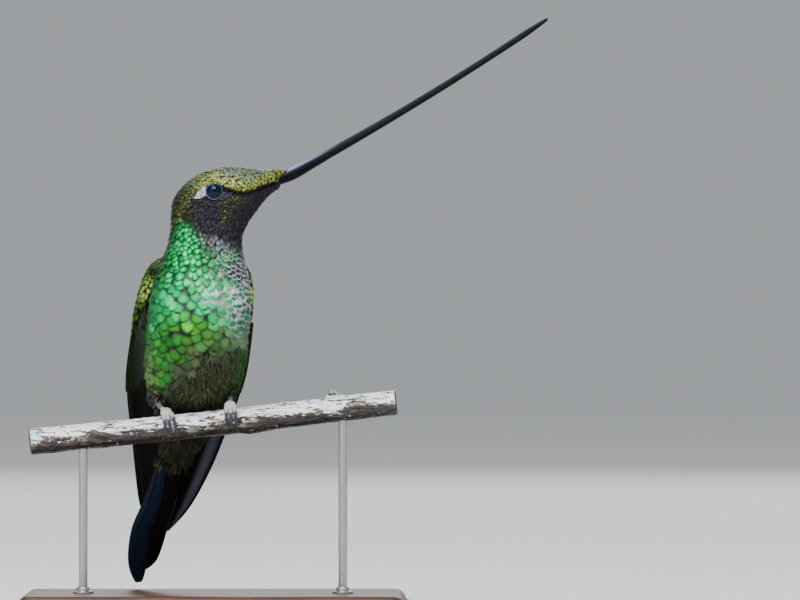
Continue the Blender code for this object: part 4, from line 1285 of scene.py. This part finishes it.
height = node(bark, "Math", operation="MULTIPLY_ADD", _0=mask, _1=0.5, _2=streaks)
plug(shader, Base_Color=(colour, 2), Roughness=node(bark, "Math", operation="MULTIPLY_ADD", _0=mask, _1=0.02, _2=0.36),
     Normal=node(bark, "Bump", Strength=0.8, Distance=0.12 * MM, Height=height))

PERCH_RINGS, PERCH_SIDES = 340, 72
PERCH_RADIUS = 3.8
perch_points, perch_faces = solid("perch")
perch_tree = tree_of(perch_points, perch_faces)
perch_ends = perch_points[:, 0].min(), perch_points[:, 0].max()
sampled = np.linspace(perch_ends[0] + 3, perch_ends[1] - 3, 40)
slices = [cut(perch_points[perch_faces], X * x, X) for x in sampled]
middles = np.array([(found.max(0) + found.min(0)) / 2 for found in slices])
PERCH_Y = float(np.median(middles[:, 1]))
perch_curve = np.polyfit(sampled, middles[:, 2], 2)


def perch_frame(x):
    """The branch's axis point at x, and its length and up directions there."""
    slope = math.atan(np.polyval(np.polyder(perch_curve), x))
    return (np.array([x, PERCH_Y, np.polyval(perch_curve, x)]), np.array([math.cos(slope), 0.0, math.sin(slope)]),
            np.array([-math.sin(slope), 0.0, math.cos(slope)]))


def on_perch(x, angle, radius):
    """A point round the branch: angle 0 is its top, and a positive angle goes over its front."""
    centre, _, upward = perch_frame(x)
    return centre + upward * (radius * math.cos(angle)) - Y * (radius * math.sin(angle))


def field(x, y, z, scale, seed):
    """Smooth noise from -1 to 1 at a place in millimetres."""
    return noise.fractal(Vector((x * scale + seed, y * scale, z * scale)), 1.0, 2.0, 4)


angles = np.linspace(0, math.tau, PERCH_SIDES, endpoint=False)
radii = np.empty((PERCH_RINGS, PERCH_SIDES))
ring_x = np.linspace(perch_ends[0] + 0.55, perch_ends[1] - 0.55, PERCH_RINGS)
for i, x in enumerate(ring_x):
    centre = perch_frame(x)[0]
    for j, angle in enumerate(angles):
        found = perch_tree.ray_cast(centre.tolist(), unit(on_perch(x, angle, 1.0) - centre).tolist())
        radii[i, j] = found[3] if found[3] is not None else PERCH_RADIUS
for rod in ("stand_rod_left", "stand_rod_right"):  # the rods fill their drilled seats, so the bark runs on over them
    edge = np.flatnonzero(np.abs(ring_x - at(rod, 0.5, 0.5, 0.5)[0]) < 2.6)
    before, after = radii[edge[0] - 1], radii[edge[-1] + 1]
    for n in edge:
        share = (n - edge[0] + 1) / (len(edge) + 1)
        radii[n] = np.maximum(radii[n], before * (1 - share) + after * share)
for _ in range(5):
    radii = (np.roll(radii, 1, 1) + 2 * radii + np.roll(radii, -1, 1)) / 4
    radii[1:-1] = (radii[:-2] + 2 * radii[1:-1] + radii[2:]) / 4
foot_places = [at("foot_" + side, 0.5, 0.5, 0.5)[0] for side in ("right", "left")]
rings, crust, tint = [], [], []
BUD_X = 34.5  # a dormant bud swells on the branch's top, pale with lichen
BARK_BROWN, BARK_RED = linear("#483630"), linear("#84302a")
BARK_DARK, BARK_GREY, LICHEN = linear("#170f0c"), linear("#6d6660"), linear("#b9b48c")
for i, x in enumerate(ring_x):
    under_foot = min(abs(x - place) for place in foot_places) < 3.6
    for j, angle in enumerate(angles):
        c, s = math.cos(angle), math.sin(angle)
        ridge = 1 - abs(field(x * 0.16, c * 3.4, s * 3.4, 0.9, 3.0))
        crack = max(0.0, ridge - 0.86) / 0.14
        fine = field(x * 0.7, c * 3.6, s * 3.6, 2.2, 9.0)
        broad = field(x * 0.3, c * 3.0, s * 3.0, 0.35, 17.0)
        lift = -0.22 * crack + 0.07 * fine + 0.10 * broad
        lift = min(lift, 0.02) if under_foot else lift
        bud = math.exp(-((x - BUD_X) / 1.5) ** 2 - (s / 0.42) ** 2) * step(0.0, 0.3, c)
        lift += (1.5 + 0.3 * fine) * bud
        rings.append(on_perch(x, angle, radii[i, j] - 0.05 + lift))
        # The crust, partly a painted sheen of light, lies on top and thins out down the front and the back. Along the
        # middle it is kept off the very top, so that the painted sheen lies on the upper front.
        cover = 0.5 + 1.5 * (c - 0.02 + 0.5 * broad)
        cover -= 1.1 * step(0.80, 0.98, c) * step(-38.0, -22.0, x) * step(32.0, 20.0, x)
        crust.append(min(max(cover, 0.02), 0.98) - 0.5 * crack - 0.35 * bud)
        patch = step(0.15, 0.45, field(x, c * 3.8, s * 3.8, 0.28, 31.0))
        red = step(0.30, 0.5, field(x * 0.5, c * 3.8, s * 3.8, 0.33, 47.0)) * step(-0.3, 0.2, c)
        # Painted shade: the bark turns darker towards its underside.
        shade = mix(BARK_BROWN, BARK_DARK, step(0.1, -0.8, c))
        shade = mix(shade, BARK_RED, 0.5 * red)
        shade = mix(shade, LICHEN, max(0.55 * patch * step(-0.75, -0.1, c), 0.7 * bud))
        shade = mix(shade, BARK_DARK * 0.5, crack)
        tint.append(mix(shade, BARK_GREY, 0.10))
rings = np.array(rings).reshape(PERCH_RINGS, PERCH_SIDES, 3)
# Cut ends: a slightly rounded edge, then annual rings pressed into the wood.
END_STEPS = ((0.97, 0.30), (0.92, 0.42), (0.85, 0.40), (0.80, 0.46), (0.62, 0.42), (0.58, 0.47), (0.42, 0.43),
             (0.38, 0.48), (0.22, 0.44), (0.18, 0.48), (0.06, 0.46))
ENDGRAIN, PITH = linear("#a58763"), linear("#6b4e33")
ends = []
for n, outward in ((0, -1), (-1, 1)):
    middle = rings[n].mean(0)
    ends.append([middle + (rings[n] - middle) * share + outward * perch_frame(ring_x[n])[1] * out
                 for share, out in END_STEPS])
perch = loft("perch_bark", np.concatenate([ends[0][::-1], rings, ends[1]]), 50.0, flip=True)
end_tint = np.array([mix(BARK_DARK, ENDGRAIN, min(1.0, n / 2)) * (1.0 if n % 2 else 0.8) for n in range(11)])
tint = np.concatenate([np.repeat(end_tint[::-1], PERCH_SIDES, 0), tint, np.repeat(end_tint, PERCH_SIDES, 0),
                       [PITH, PITH]])
crust = np.concatenate([np.full(11 * PERCH_SIDES, -2.0), crust, np.full(11 * PERCH_SIDES + 2, -2.0)])
give(perch, tint=tint, crust=crust)
finish_piece(perch, bark, ("perch",))

# Feet
# Bare foot skin: thin, slightly waxy and see-through, with fine scutes.
foot_skin, shader = new_material("scaly foot skin", Roughness=0.48, Specular_IOR_Level=0.4, Subsurface_Weight=0.15,
                                 Subsurface_Scale=0.0006)
place = node(foot_skin, "TexCoord"), "Object"
cells = node(foot_skin, "TexVoronoi", feature="DISTANCE_TO_EDGE", Vector=place, Scale=3600.0)
seams = node(foot_skin, "MapRange", Value=cells, From_Max=0.12)
plug(shader, Base_Color=tinted(foot_skin, seams, 0.35, 0.68),
     Normal=node(foot_skin, "Bump", Strength=0.5, Distance=0.05 * MM, Height=seams))
# Claws: dark translucent horn, smooth and shiny.
claw_horn, shader = new_material("claw horn", Roughness=0.25, Specular_IOR_Level=0.55, Coat_Weight=0.3,
                                 Coat_Roughness=0.1)
place = node(claw_horn, "TexCoord"), "Object"
lines = node(claw_horn, "TexNoise", Vector=place, Scale=2500.0, Detail=3.0)
plug(shader, Base_Color=tinted(claw_horn, lines, 0.8, 0.6))

# The solids' own places: along the branch, each front toe's start and end from there, and the hind toe's.
FEET = {
    "right": (-12.8, ((-0.9, -0.3), (0.3, 1.1), (1.5, 3.0)), 0.2),
    "left": (5.4, ((-1.2, -1.6), (0.0, -0.1), (1.2, 1.5)), 0.0),
}
GRIP = PERCH_RADIUS + 0.40  # from the branch's axis to the soles
PAD_RADII = np.array([1.75, 2.0, 1.15])
PAD_ANGLE, TOE_REACH, CLAW_REACH = (math.radians(a) for a in (30.0, 100.0, 130.0))
HIND_START, HIND_REACH, HIND_CLAW_REACH = (math.radians(a) for a in (24.0, -80.0, -114.0))
TOE_RADIUS = 0.52
PINK, PAD_WHITE = linear("#c9a7a4"), linear("#e3dedf")
TOE_DARK, CLAW_DARK, SHANK = linear("#3c3440"), linear("#15131a"), linear("#8f7d80")


def gripping(x, start, end, first, last, lifts):
    """A path that bends round the branch and slides along it, as far off it as lifts says."""
    return np.array([on_perch(x + start + (end - start) * t, first + (last - first) * t, GRIP + lift)
                     for t, lift in zip(np.linspace(0, 1, len(lifts)), lifts)])


def make_toe(name, x, start, end, first, last):
    t = np.linspace(0, 1, 46)
    size = TOE_RADIUS * (1.08 - 0.30 * t) * (0.90 + 0.13 * (np.cos(t * math.tau * 2.6) * 0.5 + 0.5))
    size = size * np.sqrt(np.clip((1.02 - t) / 0.08, 0.15, 1))
    scutes = 0.03 * np.abs(np.sin(t * math.pi * 15))
    path = gripping(x, start, end, first, last, np.full(46, TOE_RADIUS))
    return loft(name, tube_rings(path, size + scutes, 16), 80.0)


def make_claw(name, x, slide, first, last):
    t = np.linspace(0, 1, 22)
    path = gripping(x, slide, slide, first, last, TOE_RADIUS * 0.9 + 0.32 * np.sin(math.pi * t) - 0.45 * t)
    claw = loft(name, tube_rings(path, 0.34 * (1 - t) ** 0.75 + 0.03, 12), 80.0)
    give(claw, tint=np.tile(mix(CLAW_DARK, TOE_DARK, 0.2), (len(claw.data.vertices), 1)))
    finish_piece(claw, claw_horn)


for side, (x, fronts, hind) in FEET.items():
    pieces = []
    for n, (start, end) in enumerate(fronts):
        reach = start + (end - start) * ((TOE_REACH - PAD_ANGLE) / (CLAW_REACH - PAD_ANGLE))
        pieces.append(make_toe(f"toe_{n}", x, start, reach, PAD_ANGLE, TOE_REACH))
        make_claw(f"claw_{side}_{n}", x, reach, TOE_REACH - 0.05, CLAW_REACH)
    pieces.append(make_toe("hind_toe", x, hind, hind, HIND_START, HIND_REACH))
    make_claw(f"claw_{side}_hind", x, hind, HIND_REACH + 0.05, HIND_CLAW_REACH)
    centre, length, _ = perch_frame(x)
    pad_middle = on_perch(x, PAD_ANGLE, GRIP + PAD_RADII[2])
    out = unit(pad_middle - centre)
    ring = circle(30, length * PAD_RADII[0], np.cross(out, length) * PAD_RADII[1])
    rings = [pad_middle + out * (PAD_RADII[2] * math.cos(p)) + ring * math.sin(p) * 0.94
             for p in np.linspace(0.05, math.pi - 0.05, 22)]
    pieces.append(loft("pad", rings, 80.0, flip=True))
    t = np.linspace(0, 1, 24)[:, None]
    path = pad_middle * (1 - t) + at("leg_" + side, 0.5, 0.5, 0.25) * t
    pieces.append(loft("tarsus", tube_rings(path, 0.62 + 0.05 * np.abs(np.sin(t[:, 0] * 30)), 16), 80.0))
    deselect()
    for piece in pieces:
        piece.select_set(True)
    bpy.context.view_layer.objects.active = pieces[0]
    bpy.ops.object.join()
    foot = pieces[0]
    foot.name = "foot_skin_" + side
    points = fuse(foot, 0.11, 2)
    around = np.array([perch_frame(p[0])[0] for p in points])
    raised = np.linalg.norm((points - around)[:, 1:], axis=1) - PERCH_RADIUS
    pale = 1 - step(1.7, 3.4, np.linalg.norm(points - pad_middle, axis=1))
    tint = mix(mix(TOE_DARK, PAD_WHITE, pale), PINK, pale * step(0.4, 2.4, raised) * 0.6)
    give(foot, tint=mix(tint, SHANK, step(0.4, 2.2, points[:, 2] - pad_middle[2]) * 0.7))
    foot.data.shade_smooth()
    finish_piece(foot, foot_skin, ("foot_" + side,))

# Stand
# Dark stained hardwood, rubbed with wax: long grain, small pores and a soft lustre.
wood, shader = new_material("stained hardwood", Specular_IOR_Level=0.45, Coat_Weight=0.15, Coat_Roughness=0.3)
place = node(wood, "TexCoord"), "Object"
grain = node(wood, "Mapping", Vector=place, Scale=(0.06, 1.0, 1.0))
warp = node(wood, "TexNoise", Vector=grain, Scale=160.0, Detail=4.0, Distortion=1.2)
pores = node(wood, "TexNoise", Vector=grain, Scale=2400.0, Detail=2.0)
bands = node(wood, "Math", operation="MULTIPLY", _0=warp, _1=46.0)
bands = node(wood, "Math", operation="SINE", _0=bands)
bands = node(wood, "Math", operation="MULTIPLY_ADD", _0=bands, _1=0.35, _2=0.5)
stain = node(wood, "Mix", data_type="RGBA", Factor=bands, _6=rgba("#3a2113"), _7=rgba("#5e3a22"))
light = node(wood, "Math", operation="MULTIPLY_ADD", _0=pores, _1=0.9, _2=0.55)
colour = node(wood, "VectorMath", operation="SCALE", Vector=(stain, 2), Scale=light)
plug(shader, Base_Color=colour, Roughness=node(wood, "Math", operation="MULTIPLY_ADD", _0=pores, _1=0.25, _2=0.3),
     Normal=node(wood, "Bump", Strength=0.25, Distance=0.05 * MM, Height=pores))

base_low, base_high = (np.array(corner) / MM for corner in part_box("stand_base"))
half_x, half_y = (base_high[:2] - base_low[:2]) / 2
tall = base_high[2] - base_low[2]
CORNER = 5.0
BASE_PROFILE = ((0.985, 0.0), (1.0, 0.05), (1.0, 0.36), (0.99, 0.42), (0.972, 0.46), (0.972, 0.52), (0.968, 0.60),
                (0.955, 0.74), (0.94, 0.86), (0.925, 0.94), (0.91, 0.985), (0.895, 1.0), (0.75, 1.0))


def rounded_rectangle(x, y, radius, height):
    return np.array([(cx + radius * math.cos(a), cy + radius * math.sin(a), height) for cx, cy, start in (
        (x - radius, y - radius, 0), (radius - x, y - radius, 90), (radius - x, radius - y, 180),
        (x - radius, radius - y, 270)) for a in np.radians(np.linspace(start, start + 90, 8))])


rings = []
for share, rise in BASE_PROFILE:
    inset = half_y * (1 - share)
    rings.append(rounded_rectangle(half_x - inset, half_y - inset, max(CORNER - inset, 0.8), base_low[2] + tall * rise))
finish_piece(loft("stand_plinth", rings, 35.0), wood, ("stand_base",))

# Brushed steel: fine lines round each rod, from turning.
steel, shader = new_material("brushed steel", Metallic=1.0)
place = node(steel, "TexCoord"), "Object"
squash = node(steel, "Mapping", Vector=place, Scale=(0.15, 0.15, 4.0))
lines = node(steel, "TexNoise", Vector=squash, Scale=2200.0, Detail=3.0)
shine = node(steel, "Mix", data_type="RGBA", Factor=lines, _6=rgba("#9c9b98"), _7=rgba("#c6c5c1"))
plug(shader, Base_Color=(shine, 2), Roughness=node(steel, "Math", operation="MULTIPLY_ADD", _0=lines, _1=0.22, _2=0.22))
COLLAR_PROFILE = ((1.3, 0.0), (2.9, 0.0), (3.0, 0.12), (3.0, 0.5), (2.85, 0.68), (2.2, 0.8), (1.95, 1.0), (1.9, 1.7),
                  (1.8, 1.85), (1.55, 1.95), (1.3, 1.95))
for word in ("left", "right"):
    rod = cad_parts["stand_rod_" + word]
    rod.data.materials.clear()
    rod.data.materials.append(steel)
    seat = at("stand_rod_" + word, 0.5, 0.5, 0.0)
    points = np.concatenate([circle(40, X, Y) * radius + (seat[0], seat[1], base_high[2] + height)
                             for radius, height in COLLAR_PROFILE])
    faces = loft_faces(len(COLLAR_PROFILE) + 1, 40) % len(points)
    finish_piece(new_mesh("stand_collar_" + word, points, [faces], 35.0), steel)

# Studio
world = bpy.data.worlds.new("studio")
bpy.context.scene.world = world
world.use_nodes = True
plug(world.node_tree.nodes["Background"], Color=(0.80, 0.84, 0.90, 1.0), Strength=0.5)

# Each light, in metres: its place, its size, its power and its colour.
AIM = Vector((0.0, 0.0, 0.09))
LIGHTS = {
    "overhead": ((-0.25, -0.25, 1.45), (1.0, 0.7), 7.0, (0.95, 0.98, 1.0)),
    "skylight": ((-0.10, -1.02, 1.25), (1.25, 0.62), 26.0, (0.90, 0.96, 1.0)),
    "front_left": ((-1.3, -1.6, 0.9), (2.4, 2.0), 13.0, (1.0, 0.99, 0.97)),
    "front_right": ((1.6, -1.5, 0.6), (2.4, 2.0), 6.0, (0.97, 0.98, 1.0)),
    "behind": ((0.3, 1.6, 0.9), (1.2, 0.8), 9.0, (1.0, 1.0, 1.0)),
}
for name, (place, size, power, colour) in LIGHTS.items():
    data = bpy.data.lights.new(name, "AREA")
    data.shape = "RECTANGLE"
    data.size, data.size_y = size
    data.energy = power
    data.color = colour
    light = bpy.data.objects.new(name, data)
    light.location = place
    light.rotation_euler = (AIM - Vector(place)).to_track_quat("-Z", "Y").to_euler()
    bpy.context.scene.collection.objects.link(light)

paper, shader = new_material("matt paper sweep", Roughness=0.9, Specular_IOR_Level=0.15)
place = node(paper, "TexCoord"), "Object"
grain = node(paper, "TexNoise", Vector=place, Scale=400.0, Detail=2.0)
tone = node(paper, "Mix", data_type="RGBA", Factor=grain, _6=rgba("#eeeeec"), _7=rgba("#f7f7f5"))
plug(shader, Base_Color=(tone, 2))
SWEEP_FLAT = 4200.0
SWEEP_RISE = 9000.0
sweep_rows = [(100.0, 0.0), (400.0, 0.0), (SWEEP_FLAT, 0.0)]
for a in np.linspace(0.03, 0.9, 30):
    sweep_rows.append((SWEEP_FLAT + SWEEP_RISE * math.sin(a), SWEEP_RISE * (1 - math.cos(a))))
points = [[0.0 * Z]] + [circle(96, X, Y) * distance + Z * height for distance, height in sweep_rows]
j = np.arange(96)
sweep = new_mesh("floor", np.concatenate(points), [loft_faces(len(sweep_rows), 96)[:, ::-1] + 1,
                                                   corners(0, 1 + j, 1 + (j + 1) % 96)])
sweep.data.materials.append(paper)
